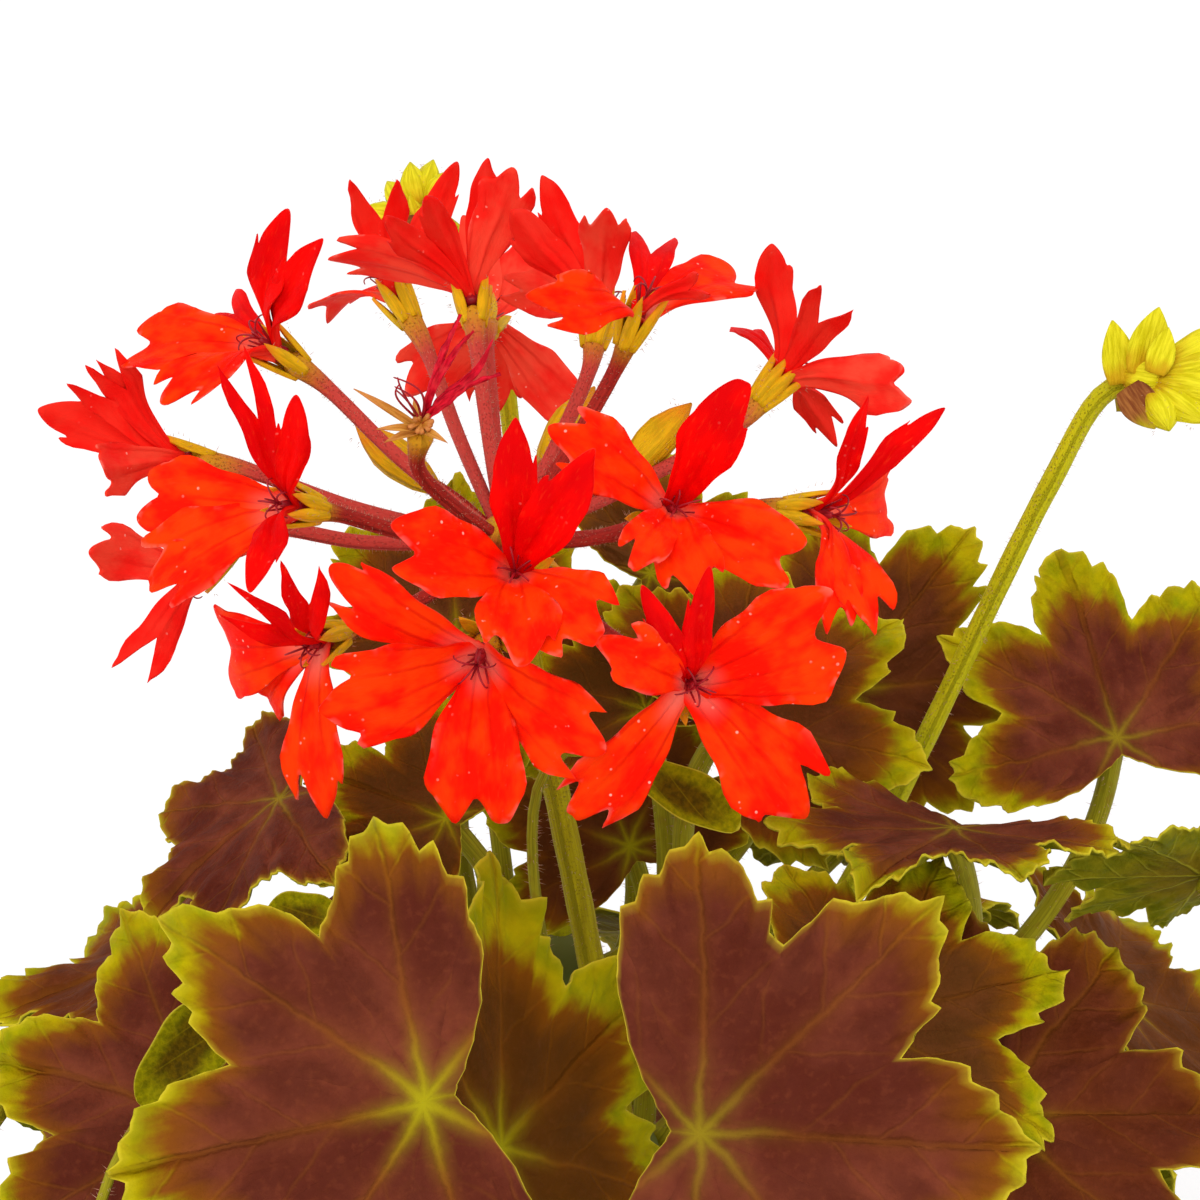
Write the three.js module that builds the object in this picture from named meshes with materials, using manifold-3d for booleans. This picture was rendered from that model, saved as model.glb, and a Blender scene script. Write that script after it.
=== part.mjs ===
// A potted star-flowered zonal geranium: a plain clay pot of soil, five fleshy stems, bronze leaves
// with a yellow-green margin, one open umbel of scarlet flowers and two umbels still in bud.
// Millimetres, +Z up. The origin is the centre of the pot's underside, and the front faces -Y.
import * as THREE from "three";
import { mergeVertices } from "three/addons/utils/BufferGeometryUtils.js";
import Module from "manifold-3d";

const wasm = await Module();
wasm.setup();

const RAD = Math.PI / 180;
const { sin, cos, sqrt, hypot } = Math;
const vec = (x, y, z) => new THREE.Vector3(x, y, z);

// The pot and its soil
const POT_HEIGHT = 96;
const POT_BASE_R = 44;
const POT_RIM_R = 64;
const RIM_BAND = 20;
const RIM_STEP = 3.5;
const WALL = 5;
const FLOOR = 6;
const DRAIN_R = 5;
const DRAIN_RING_R = 24;
const DRAIN_COUNT = 3;
const SOIL_LEVEL = 84;
const SOIL_MOUND = 5;
const CLEAR = 0.3;

// The upper plant is laid out round the point SIGHT on three axes tilted by TILT degrees, in real
// millimetres: right, up across the line of sight of someone looking down on its front, and near.
const TILT = 35 * RAD;
const SIGHT = vec(0, 0, 212);
const RIGHT = vec(1, 0, 0);
const UP = vec(0, sin(TILT), cos(TILT));
const NEAR = vec(0, -cos(TILT), sin(TILT));
const along = (right, up, near) =>
  vec(0, 0, 0).addScaledVector(RIGHT, right).addScaledVector(UP, up).addScaledVector(NEAR, near);
const seen = (right, up, near) => along(right, up, near).add(SIGHT);

// Solids from closed meshes
function solid(geometry) {
  const bare = new THREE.BufferGeometry();
  bare.setAttribute("position", geometry.getAttribute("position"));
  bare.setIndex(geometry.index);
  const merged = mergeVertices(geometry.index ? bare.toNonIndexed() : bare, 1e-4);
  const mesh = new wasm.Mesh({
    numProp: 3,
    vertProperties: new Float32Array(merged.attributes.position.array),
    triVerts: new Uint32Array(merged.index.array),
  });
  return new wasm.Manifold(mesh);
}

function fuse(solids) {
  return solids.reduce((whole, next) => whole.add(next));
}

function largestBody(shape) {
  return shape.decompose().reduce((a, b) => (a.volume() > b.volume() ? a : b));
}

const group = new THREE.Group();

function addNode(name, shape, colour, roughness) {
  const found = largestBody(shape).getMesh();
  const geometry = new THREE.BufferGeometry();
  const places = new Float32Array(found.numVert * 3);
  for (let i = 0; i < found.numVert; i += 1) {
    places.set(found.vertProperties.subarray(i * found.numProp, i * found.numProp + 3), i * 3);
  }
  geometry.setAttribute("position", new THREE.BufferAttribute(places, 3));
  geometry.setIndex(new THREE.BufferAttribute(found.triVerts, 1));
  const material = new THREE.MeshStandardMaterial({ color: colour, roughness, metalness: 0 });
  const mesh = new THREE.Mesh(geometry, material);
  mesh.name = name;
  group.add(mesh);
}

// A closed mesh from points and triangles
function meshOf(points, triangles) {
  const geometry = new THREE.BufferGeometry();
  const places = points.flatMap((p) => [p.x, p.y, p.z]);
  geometry.setAttribute("position", new THREE.Float32BufferAttribute(places, 3));
  geometry.setIndex(triangles.flat());
  return solid(geometry);
}

// A round stalk along a curve, with the radius as a function of the way along it
function stalk(curve, radiusAt, sides, steps) {
  const frames = curve.computeFrenetFrames(steps, false);
  const points = [];
  const triangles = [];
  for (let i = 0; i <= steps; i += 1) {
    const centre = curve.getPointAt(i / steps);
    for (let k = 0; k < sides; k += 1) {
      const turn = (2 * Math.PI * k) / sides;
      const r = radiusAt(i / steps);
      points.push(
        centre.clone()
          .addScaledVector(frames.normals[i], r * cos(turn))
          .addScaledVector(frames.binormals[i], r * sin(turn)),
      );
    }
  }
  for (let i = 0; i < steps; i += 1) {
    for (let k = 0; k < sides; k += 1) {
      const a = i * sides + k;
      const b = i * sides + ((k + 1) % sides);
      triangles.push([a, b, b + sides], [a, b + sides, a + sides]);
    }
  }
  const last = steps * sides;
  for (let k = 1; k < sides - 1; k += 1) {
    triangles.push([0, k + 1, k], [last, last + k, last + k + 1]);
  }
  return meshOf(points, triangles);
}

// A blade: one set of triangles on both faces of a sheet, and a wall round its outline
function blade(middle, normals, thick, triangles, outline) {
  const count = middle.length;
  const top = middle.map((p, i) => p.clone().addScaledVector(normals[i], thick / 2));
  const under = middle.map((p, i) => p.clone().addScaledVector(normals[i], -thick / 2));
  const faces = [];
  for (const [a, b, c] of triangles) {
    faces.push([a, b, c], [a + count, c + count, b + count]);
  }
  outline.forEach((a, i) => {
    const b = outline[(i + 1) % outline.length];
    faces.push([a, a + count, b + count], [a, b + count, b]);
  });
  return meshOf([...top, ...under], faces);
}

// Leaves: five toothed lobes round the petiole's end, with an open base
const LOBE_STEP = 46.5;
const LOBE_REACH = [1, 0.97, 0.86];
const NOTCH_REACH = 0.61;
const BLADE_THICK = 0.9;
const PETIOLE_R = 1.25;
const INNER_SHARE = 0.5;

// The outline on one side of the midrib, by the angle in degrees and the reach as a share of the
// leaf's radius. The lobes' tips and the deep notches also have a point nearer the middle.
const LEAF_HALF = [
  { angle: 8, reach: 0.89 },
  { angle: 15.5, reach: 0.82 },
  { angle: LOBE_STEP / 2, reach: NOTCH_REACH, deep: true },
  { angle: 31, reach: 0.8 },
  { angle: LOBE_STEP, reach: LOBE_REACH[1], deep: true },
  { angle: 54.5, reach: 0.86 },
  { angle: 62, reach: 0.79 },
  { angle: LOBE_STEP * 1.5, reach: NOTCH_REACH, deep: true },
  { angle: 78, reach: 0.72 },
  { angle: LOBE_STEP * 2, reach: LOBE_REACH[2], deep: true },
  { angle: 108, reach: 0.68 },
  { angle: 121, reach: 0.45 },
  { angle: 148, reach: 0.16 },
];
const LEAF_OUTLINE = [
  { angle: 0, reach: LOBE_REACH[0], deep: true },
  ...LEAF_HALF,
  { angle: 180, reach: 0.09, deep: true },
  ...LEAF_HALF.toReversed().map((point) => ({ ...point, angle: 360 - point.angle })),
];

// How far a point of the blade stands off its plane, as a share of the leaf's radius
function leafRise(angle, reach, form) {
  const ripple = cos((2 * Math.PI * angle) / LOBE_STEP);
  return (
    form.cup * reach ** 2 -
    0.045 * ripple * reach ** 2 -
    form.droop * reach ** 4 +
    form.wave * reach ** 2 * sin(3 * angle * RAD + form.phase) +
    form.fold * (reach * sin(angle * RAD)) ** 2
  );
}

function leaf({ at, normal, midrib, radius, form, start, leave, below }) {
  const side = normal.clone().cross(midrib);
  const place = (angle, reach) =>
    at.clone()
      .addScaledVector(midrib, radius * reach * cos(angle * RAD))
      .addScaledVector(side, radius * reach * sin(angle * RAD))
      .addScaledVector(normal, radius * leafRise(angle, reach, form));
  const outer = LEAF_OUTLINE;
  const inner = outer.filter((point) => point.deep);
  const middle = [
    place(0, 0),
    ...inner.map(({ angle, reach }) => place(angle, reach * INNER_SHARE)),
    ...outer.map(({ angle, reach }) => place(angle, reach)),
  ];
  const triangles = [];
  let from = 0;
  outer.forEach((point, i) => {
    const next = (i + 1) % outer.length;
    const rim = [1 + inner.length + i, 1 + inner.length + next];
    triangles.push([1 + from, ...rim]);
    if (outer[next].deep) {
      const on = (from + 1) % inner.length;
      triangles.push([1 + from, rim[1], 1 + on], [0, 1 + from, 1 + on]);
      from = on;
    }
  });
  const outline = outer.map((_, i) => 1 + inner.length + i);
  const sheet = blade(middle, middle.map(() => normal), BLADE_THICK, triangles, outline);
  const reach = start.distanceTo(at);
  const behind = normal.clone().multiplyScalar(-0.75).addScaledVector(midrib, -0.5).normalize();
  const arrive = below ?? behind;
  const path = new THREE.CubicBezierCurve3(
    start,
    start.clone().addScaledVector(leave, reach * 0.35),
    at.clone().addScaledVector(arrive, reach * 0.4),
    at.clone().addScaledVector(normal, -0.2),
  );
  return sheet.add(stalk(path, (t) => PETIOLE_R * (1.15 - 0.25 * t), 4, 4));
}

// Stems: fleshy, swollen at the joints, standing in holes in the soil
const STEM_R = 4.6;
const STEM_FOOT = 30;
const STEMS = {
  front: [vec(-8, -14, 0), vec(-7, -17, 30), vec(-5, -22, 62)],
  centre: [vec(8, 6, 0), vec(6, 6, 26), vec(3, 2, 50)],
  right: [vec(24, 4, 0), vec(25, 7, 22), vec(20, 12, 46)],
  back: [vec(-6, 26, 0), vec(-6, 31, 28), vec(-5, 36, 52)],
  left: [vec(-28, 2, 0), vec(-31, 2, 26), vec(-34, 0, 52)],
};
const stemCurves = {};
for (const [name, points] of Object.entries(STEMS)) {
  const foot = points[0].clone().setZ(-STEM_FOOT);
  const raised = [foot, ...points].map((p) => p.clone().add(vec(0, 0, SOIL_LEVEL)));
  stemCurves[name] = new THREE.CatmullRomCurve3(raised);
}
const stemRadius = (t) => STEM_R * (1.1 - 0.3 * t) * (1 + 0.09 * cos(t * 30));

// A point just outside a stem, on the side that faces a leaf, and the way the petiole leaves it
function budding(stemName, height, towards) {
  const curve = stemCurves[stemName];
  const centre = curve.getPointAt(height);
  const out = towards.clone().sub(centre).setZ(0);
  if (out.length() < 1) out.set(0, -1, 0);
  out.normalize();
  const off = stemRadius(height) * 0.97 + PETIOLE_R * 0.75 + CLEAR;
  const start = centre.clone().addScaledVector(out, off);
  return { start, leave: out.clone().multiplyScalar(0.75).setZ(0.66).normalize() };
}

// The upper leaves: place [right, up, near], the way the upper face looks [turned right, turned up]
// in degrees from straight near, the midrib's direction across that (0 right, 90 up), the radius,
// and the way the petiole leaves the blade if it isn't straight back
const FRONT_LEAVES = [
  { name: "leaf_front_left", at: [-15.6, -45, 33], look: [-6, 8], mid: 193, r: 30,
    stem: "front", h: 0.98,
    below: [0.1, -0.9, -0.35] },
  { name: "leaf_front_left_behind", at: [-9.8, -52.5, 13], look: [54, 15], mid: 27, r: 31,
    stem: "front", h: 0.8 },
  { name: "leaf_front_right", at: [9, -47.1, 37], look: [4, 6], mid: -3, r: 31,
    stem: "centre", h: 0.9,
    below: [0.15, -0.85, -0.35] },
  { name: "leaf_low_right", at: [25.5, -40.5, 12], look: [10, 30], mid: 20, r: 22,
    stem: "centre", h: 0.86 },
  { name: "leaf_right_corner", at: [37.9, -50, 9], look: [20, 34], mid: 8, r: 28,
    stem: "right", h: 0.7 },
  { name: "leaf_right_flat", at: [36, -23.5, -5.2], look: [-4, 76], mid: 262, r: 20.6,
    stem: "right", h: 0.95 },
  { name: "leaf_right_turned", at: [61.5, -27.8, -6], look: [10, 118], mid: 165, r: 17,
    stem: "right", h: 0.82 },
  { name: "leaf_right_edge", at: [56.5, -15, -30], look: [8, 20], mid: 100, r: 23,
    stem: "right", h: 0.98 },
  { name: "leaf_back_right", at: [27.7, -10, -41], look: [4, 16], mid: 52, r: 24,
    stem: "back", h: 0.95 },
  { name: "leaf_mid_right", at: [13.8, -12.8, -21], look: [6, 28], mid: 36, r: 23,
    stem: "centre", h: 0.97 },
  { name: "leaf_left_side", at: [-33.3, -21, -14.6], look: [-46, 44], mid: 217, r: 20,
    stem: "left", h: 0.975 },
  { name: "leaf_left_corner", at: [-38.5, -50, 10], look: [-18, 26], mid: 160, r: 25,
    stem: "left", h: 0.72 },
  { name: "leaf_behind_umbel", at: [-16, -4, -35], look: [0, 20], mid: 92, r: 19,
    stem: "back", h: 0.98 },
  { name: "leaf_behind_umbel_right", at: [6, 3, -47], look: [4, 24], mid: 34, r: 17,
    stem: "back", h: 0.86 },
  { name: "leaf_under_umbel_right", at: [5, -12, -26], look: [0, 30], mid: 110, r: 18,
    stem: "centre", h: 0.8 },
  { name: "leaf_under_umbel_left", at: [-16, -23, -15], look: [-10, 34], mid: 150, r: 18,
    stem: "left", h: 0.88 },
  { name: "leaf_under_umbel", at: [3.5, -28.5, -49], look: [0, 8], mid: 114, r: 20,
    stem: "back", h: 0.7 },
];

function frontLeaf(row) {
  const at = seen(...row.at);
  const [yaw, pitch] = row.look.map((degrees) => degrees * RAD);
  const facing = [sin(yaw) * cos(pitch), sin(pitch), cos(yaw) * cos(pitch)];
  const normal = along(...facing).normalize();
  const across = along(cos(row.mid * RAD), sin(row.mid * RAD), 0);
  const midrib = across.addScaledVector(normal, -across.dot(normal)).normalize();
  const below = row.below && along(...row.below);
  return { at, normal, midrib, radius: row.r, below, ...budding(row.stem, row.h, at) };
}

// Older leaves in rings round the rim, facing outwards, with their midribs hanging down
const RINGS = [
  { count: 7, radius: 64, z: 118, rise: 34, from: 18, r: 28, h: 0.45 },
  { count: 5, radius: 56, z: 146, rise: 44, from: 100, arc: 190, r: 27, h: 0.7 },
  { count: 3, radius: 47, z: 137, rise: 42, from: -50, arc: 100, r: 24, h: 0.55 },
];

function ringLeaves() {
  const rows = [];
  RINGS.forEach((ring, level) => {
    for (let i = 0; i < ring.count; i += 1) {
      const arc = ring.arc ?? 360;
      const azimuth = (ring.from + (arc * i) / (ring.arc ? ring.count - 1 : ring.count)) * RAD;
      const out = vec(sin(azimuth), -cos(azimuth), 0);
      const wobble = sin(i * 2.4 + level);
      const height = ring.z + 7 * cos(i * 3.1 + level);
      const at = out.clone().multiplyScalar(ring.radius + 4 * wobble).setZ(height);
      const rise = (ring.rise + 8 * wobble) * RAD;
      const normal = out.clone().multiplyScalar(cos(rise)).setZ(sin(rise));
      const down = out.clone().multiplyScalar(sin(rise)).setZ(-cos(rise));
      const midrib = down.applyAxisAngle(normal, 0.35 * wobble);
      const stems = Object.keys(stemCurves);
      const gap = (name) => stemCurves[name].getPointAt(ring.h).setZ(0).distanceTo(at.clone().setZ(0));
      const stem = stems.reduce((a, b) => (gap(a) < gap(b) ? a : b));
      rows.push({
        name: `leaf_ring_${level + 1}_${i + 1}`,
        at, normal, midrib, radius: ring.r, ...budding(stem, ring.h, at),
      });
    }
  });
  return rows;
}

function leafForm(index) {
  return {
    cup: 0.1 + 0.06 * sin(index * 1.7),
    droop: 0.07,
    wave: 0.05,
    phase: index * 2.4,
    fold: 0.05 * cos(index * 1.1),
  };
}

// Petals: a claw that widens to a toothed, a forked or a pointed end. [way along, share of the width]
const PETAL_SIDE = [[0.062, 0.07], [0.36, 0.3], [0.7, 0.5]];
const PETAL_ENDS = {
  broad: [[0.93, -0.42], [0.86, -0.24], [1, -0.03], [0.86, 0.2], [0.95, 0.4]],
  forked: [[1, -0.36], [0.72, 0.02], [0.92, 0.4]],
  pointed: [[0.86, -0.36], [1, 0], [0.84, 0.38]],
};
const PETAL_THICK = 0.7;
const PETAL_LENGTH = 16.5;
const PETAL_BEND = 1.8;
const PETAL_SPREAD = 68 * RAD;
const THROAT_R = 1.9;
const THROAT_DROP = 0.6;

// A petal's tip, from the flower's throat: right and up are given, and the depth follows from the
// length, towards the side on which the petal spreads nearest to its usual angle from the axis
function petalReach(axis, right, up) {
  const across = hypot(right, up);
  const depth = sqrt(Math.max(0, PETAL_LENGTH ** 2 - across ** 2));
  const choices = [depth, -depth].map((near) => along(right, up, near));
  const miss = (reach) => Math.abs(reach.angleTo(axis) - PETAL_SPREAD);
  return choices.reduce((a, b) => (miss(a) <= miss(b) ? a : b));
}

function petal(throat, axis, [right, up, width, end]) {
  const reach = petalReach(axis, right, up);
  const ahead = reach.clone().normalize();
  const face = axis.clone().addScaledVector(ahead, -axis.dot(ahead)).normalize();
  const side = face.clone().cross(ahead);
  const bend = PETAL_BEND + 4 * Math.max(0, -ahead.dot(axis));
  const place = ([t, share]) =>
    throat.clone()
      .addScaledVector(reach, t)
      .addScaledVector(side, -width * share)
      .addScaledVector(face, bend * sin(Math.PI * t) + 0.9 * share ** 2 * width * t * 0.4);
  const left = PETAL_SIDE.map(([t, share]) => [t, -share]);
  const outline = [...left, ...PETAL_ENDS[end], ...PETAL_SIDE.toReversed()];
  const middle = [...outline, [0.7, 0]].map(place);
  const n = outline.length;
  const triangles = [[0, 1, n - 1], [1, n - 2, n - 1], [1, n, n - 2]];
  for (let i = 1; i < n - 2; i += 1) triangles.push([n, i, i + 1]);
  const rim = outline.map((_, i) => i);
  const faces = triangles.map(([a, b, c]) => [a, c, b]);
  return blade(middle, middle.map(() => face), PETAL_THICK, faces, rim.toReversed());
}

// The open umbel. Each flower: its throat [right, up, near] from the umbel's centre, the way it
// faces, and its petals [right, up, width, end] with the tip's place from the throat
const UMBEL_AT = [-9.5, 5.5, 0];
const FLOWERS = [
  {
    at: [15.7, 2.7, 20],
    axis: [0.3, 0.15, 0.94],
    petals: [
      [-10.9, 7.6, 7.5, "broad"], [7, 11.8, 6.5, "pointed"], [12.2, -5.6, 8.5, "broad"],
      [3, -8, 6.5, "broad"], [-3.6, -5.5, 5, "broad"],
    ],
  },
  {
    at: [30, 2.9, 10],
    axis: [0.8, -0.1, 0.55],
    petals: [
      [12.9, 10.2, 3, "pointed"], [4.5, 10.8, 2.6, "pointed"], [8.8, 2.5, 8, "broad"],
      [5.3, -11.4, 6.5, "broad"], [1.9, -11.2, 5, "broad"],
    ],
  },
  {
    at: [17.5, -13.1, 23.5],
    axis: [0.3, -0.1, 0.95],
    petals: [
      [-4.3, 9, 3.2, "pointed"], [1.6, 10.4, 3.2, "pointed"], [-8.2, 4.4, 6.5, "broad"],
      [13.8, 5.6, 12, "broad"], [-10.9, -12.6, 7.5, "broad"], [11.3, -12.4, 10.5, "broad"],
    ],
  },
  {
    at: [1.7, -3.5, 28],
    axis: [0.05, 0.2, 0.97],
    petals: [
      [0.3, 14.2, 5, "pointed"], [7, 10.8, 6, "pointed"], [-10.6, 2.6, 8.5, "broad"],
      [8, -5.7, 9, "broad"], [0.9, -7.5, 8, "broad"],
    ],
  },
  {
    at: [-1.5, -10.5, 21],
    axis: [-0.15, -0.35, 0.92],
    petals: [
      [-15, -5, 10.5, "broad"], [-0.3, -16, 10, "broad"], [11.6, -8.9, 9.5, "broad"],
      [-14.4, 7.8, 7, "broad"],
    ],
  },
  {
    at: [-16.9, -9.4, 15],
    axis: [-0.5, -0.2, 0.84],
    petals: [
      [-10.6, -0.9, 10, "broad"], [-1.1, 8.1, 4.5, "forked"], [0.3, -16.4, 7.5, "broad"],
      [-8.4, 4.4, 4, "forked"], [-6.4, -5.8, 5.4, "broad"],
    ],
  },
  {
    at: [-19, 3.3, 18],
    axis: [-0.6, 0.1, 0.8],
    petals: [
      [-6, 14.6, 4, "forked"], [1.1, 9.9, 3.8, "pointed"], [-15.8, 1.1, 8.5, "broad"],
      [-14.6, -7.4, 9, "broad"], [-3, -8, 3.8, "pointed"],
    ],
  },
  {
    at: [-33.5, 9, -11],
    axis: [-0.95, 0.15, -0.1],
    petals: [
      [-13.8, 4.8, 5.5, "pointed"], [-9.5, 8.7, 5, "forked"], [-7.5, 10.3, 4.5, "forked"],
      [-6.5, -1.5, 6, "broad"],
    ],
  },
  {
    at: [-22.7, 19.3, 0],
    axis: [-0.7, 0.5, 0.45],
    petals: [
      [-15.7, 0.8, 9, "broad"], [-7.2, 6.2, 5, "forked"], [1.4, 12.9, 5.4, "pointed"],
      [5.1, 9.6, 5.2, "pointed"], [-10.1, -5.8, 6, "broad"],
    ],
  },
  {
    at: [-3.9, 26, -15],
    axis: [-0.1, 0.85, -0.5],
    petals: [
      [-15.5, 4.6, 7.5, "broad"], [-8.4, 7, 3.8, "pointed"], [-4.2, 9.2, 3.6, "pointed"],
      [2.1, 13.5, 4, "pointed"], [4.6, 12.4, 6.5, "broad"],
    ],
  },
  {
    at: [-12.4, 27, -27],
    axis: [-0.45, 0.75, -0.4],
    petals: [
      [-2.1, 12, 6.5, "forked"], [6.6, 14.3, 4, "pointed"], [-8.9, -0.5, 7, "broad"],
      [-1.5, 6, 5, "broad"],
    ],
  },
  {
    at: [-2.6, 24.6, -26],
    axis: [0, 0.35, -0.93],
    petals: [
      [10, -9.9, 6.5, "broad"], [-9.4, -7, 8, "broad"], [-2.8, 12.6, 6, "broad"],
      [5.2, 10.2, 6, "broad"], [0.5, -9, 7.5, "broad"],
    ],
  },
  {
    at: [9.3, 23.3, -11],
    axis: [0.15, 0.85, -0.45],
    petals: [
      [-5.7, 14.2, 4.4, "pointed"], [-8.9, 10.7, 5, "pointed"], [-10.4, 4.8, 5.4, "broad"],
      [0.8, 9.9, 5.5, "broad"],
    ],
  },
  {
    at: [13.2, 22.4, 4],
    axis: [0.35, 0.8, 0.45],
    petals: [
      [2, 9.8, 5.4, "forked"], [11.4, 4.6, 8, "broad"], [6.3, 1.9, 3, "forked"],
      [-10.4, 0.6, 6.5, "broad"],
    ],
  },
  {
    at: [27.6, 16.8, -8],
    axis: [0.65, 0.7, -0.2],
    petals: [
      [-1, 13.3, 4.6, "pointed"], [5.1, 7.4, 5.4, "forked"], [-4, 6.6, 3.4, "pointed"],
      [12.7, -1, 6.5, "broad"], [7.1, -5.3, 4, "broad"],
    ],
  },
  {
    at: [-30, -1.6, -4],
    axis: [-0.75, -0.55, -0.3],
    petals: [
      [-7, -11.4, 5, "forked"], [-10, 1, 6, "broad"], [2, 6, 5, "broad"], [-6, 7, 4, "forked"],
    ],
  },
];
const FADED = { at: [-7.5, 11.4, 15], axis: [0.1, 0.7, 0.7],
  petals: [[3.2, 10.5, 2.6, "forked"], [6.4, 7.4, 2.6, "forked"], [7, 4.4, 2.4, "forked"]] };
const BUDS = [
  { at: [15.5, 11, -6], axis: [0.65, 0.7, -0.2] },
  { at: [6.4, 13, -17], axis: [0.5, 0.8, -0.3] },
  { at: [-12, 9.6, -11], axis: [-0.75, 0.6, -0.2] },
];
const PEDICEL_R = 0.95;
const HUB_R = 4;
const CUP_R = 2;
const CUP_LENGTH = 5;
const BUD_LENGTH = 11;
const BUD_WIDTH = 4;
const BRACT_WIDTH = 3.6;
const SEPAL_LENGTH = 6.2;
const SEPAL_THICK = 0.9;

const umbelAt = seen(...UMBEL_AT);
const throatOf = (row) => umbelAt.clone().add(along(...row.at));
const axisOf = (row) => along(...row.axis).normalize();

function corolla(row) {
  const throat = throatOf(row);
  const axis = axisOf(row);
  const below = throat.clone().addScaledVector(axis, -THROAT_DROP);
  const nub = new THREE.LineCurve3(below, throat.clone().addScaledVector(axis, 4));
  const column = stalk(nub, (t) => THROAT_R * (1 - 0.7 * t), 5, 1);
  return fuse([column, ...row.petals.map((p) => petal(throat, axis, p))]);
}

// A slender pointed body from one point to another: a bract or a bud
function spindle(from, to, widest, flat, face, sides, bulgeAt) {
  const ahead = to.clone().sub(from);
  const side = face.clone().cross(ahead).normalize();
  const back = ahead.clone().cross(side).normalize();
  const rings = [[0, 0.4], [bulgeAt, 1]];
  const points = [];
  const triangles = [];
  for (const [t, share] of rings) {
    for (let k = 0; k < sides; k += 1) {
      const turn = (2 * Math.PI * (k + 0.5)) / sides;
      points.push(
        from.clone().addScaledVector(ahead, t)
          .addScaledVector(side, (widest / 2) * share * cos(turn))
          .addScaledVector(back, (flat / 2) * share * sin(turn)),
      );
    }
  }
  points.push(to.clone());
  const tip = points.length - 1;
  for (let i = 0; i < rings.length - 1; i += 1) {
    for (let k = 0; k < sides; k += 1) {
      const a = i * sides + k;
      const b = i * sides + ((k + 1) % sides);
      triangles.push([a, b, b + sides], [a, b + sides, a + sides]);
    }
  }
  for (let k = 0; k < sides; k += 1) {
    const a = tip - sides + k;
    const b = tip - sides + ((k + 1) % sides);
    triangles.push([a, b, tip]);
  }
  for (let k = 1; k < sides - 1; k += 1) triangles.push([0, k + 1, k]);
  return meshOf(points, triangles);
}

// Directions round an axis, spread from it by an angle
function around(axis, turn, spread) {
  const first = Math.abs(axis.z) < 0.9 ? vec(0, 0, 1) : vec(1, 0, 0);
  const side = first.cross(axis).normalize();
  const other = axis.clone().cross(side);
  return axis.clone().multiplyScalar(cos(spread))
    .addScaledVector(side, sin(spread) * cos(turn))
    .addScaledVector(other, sin(spread) * sin(turn));
}

// A cup with five pointed sepals that keep clear of the petals in front of them
function calyx(top, axis, petals) {
  const reaches = petals.map(([right, up]) => petalReach(axis, right, up));
  const clearance = (way) => Math.min(...reaches.map((reach) => reach.angleTo(way)));
  const roomiest = (a, b) => (Math.min(clearance(a), 0.6) >= Math.min(clearance(b), 0.6) ? a : b);
  const points = [top.clone(), top.clone().addScaledVector(axis, -CUP_LENGTH)];
  const triangles = [];
  const at = (k, step) => 2 + (k % 5) * 4 + step;
  for (let k = 0; k < 5; k += 1) {
    const notch = top.clone().addScaledVector(around(axis, k * 72 * RAD, 90 * RAD), CUP_R);
    const turn = (k + 0.5) * 72 * RAD;
    const ways = [78, 92, 106, 120, 132].map((angle) => around(axis, turn, angle * RAD));
    const best = ways.reduce(roomiest);
    const length = clearance(best) > 30 * RAD ? SEPAL_LENGTH : SEPAL_LENGTH * 0.55;
    const tip = top.clone().addScaledVector(best, length);
    const lower = (point) => point.clone().addScaledVector(axis, -SEPAL_THICK);
    points.push(notch, lower(notch), tip, lower(tip));
    triangles.push(
      [0, at(k, 0), at(k + 1, 0)],
      [at(k, 0), at(k, 2), at(k + 1, 0)],
      [1, at(k + 1, 1), at(k, 1)],
      [at(k, 1), at(k + 1, 1), at(k, 3)],
      [at(k, 0), at(k, 1), at(k, 3)],
      [at(k, 0), at(k, 3), at(k, 2)],
      [at(k, 2), at(k, 3), at(k + 1, 1)],
      [at(k, 2), at(k + 1, 1), at(k + 1, 0)],
    );
  }
  return meshOf(points, triangles);
}

// A stalk from the umbel's centre to a flower's cup
function pedicel(row) {
  const axis = axisOf(row);
  const top = throatOf(row).addScaledVector(axis, -THROAT_DROP - CLEAR);
  const foot = top.clone().addScaledVector(axis, -CUP_LENGTH);
  const out = foot.clone().sub(umbelAt).normalize();
  const root = umbelAt.clone().addScaledVector(out, HUB_R * 0.8);
  const sag = root.clone().lerp(foot, 0.5).add(vec(0, 0, -0.8));
  const end = top.clone().addScaledVector(axis, -1.5);
  const path = new THREE.CatmullRomCurve3([root, sag, foot, end]);
  return stalk(path, (t) => PEDICEL_R * (0.85 + 0.15 * t), 4, 4).add(calyx(top, axis, row.petals));
}

// A single unopened bud of the umbel, on its stalk
function bud(row) {
  const axis = axisOf(row);
  const tip = throatOf(row).addScaledVector(axis, 5);
  const foot = tip.clone().addScaledVector(axis, -BUD_LENGTH);
  const out = foot.clone().sub(umbelAt).normalize();
  const root = umbelAt.clone().addScaledVector(out, HUB_R * 0.8);
  const arch = root.clone().lerp(foot, 0.5).add(vec(0, 0, 1));
  const path = new THREE.QuadraticBezierCurve3(root, arch, foot.clone().addScaledVector(axis, 1));
  const side = around(axis, 0, 90 * RAD);
  const body = spindle(foot, tip, BUD_WIDTH, BUD_WIDTH, side, 6, 0.45);
  return stalk(path, () => PEDICEL_R * 0.85, 4, 2).add(body);
}

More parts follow.
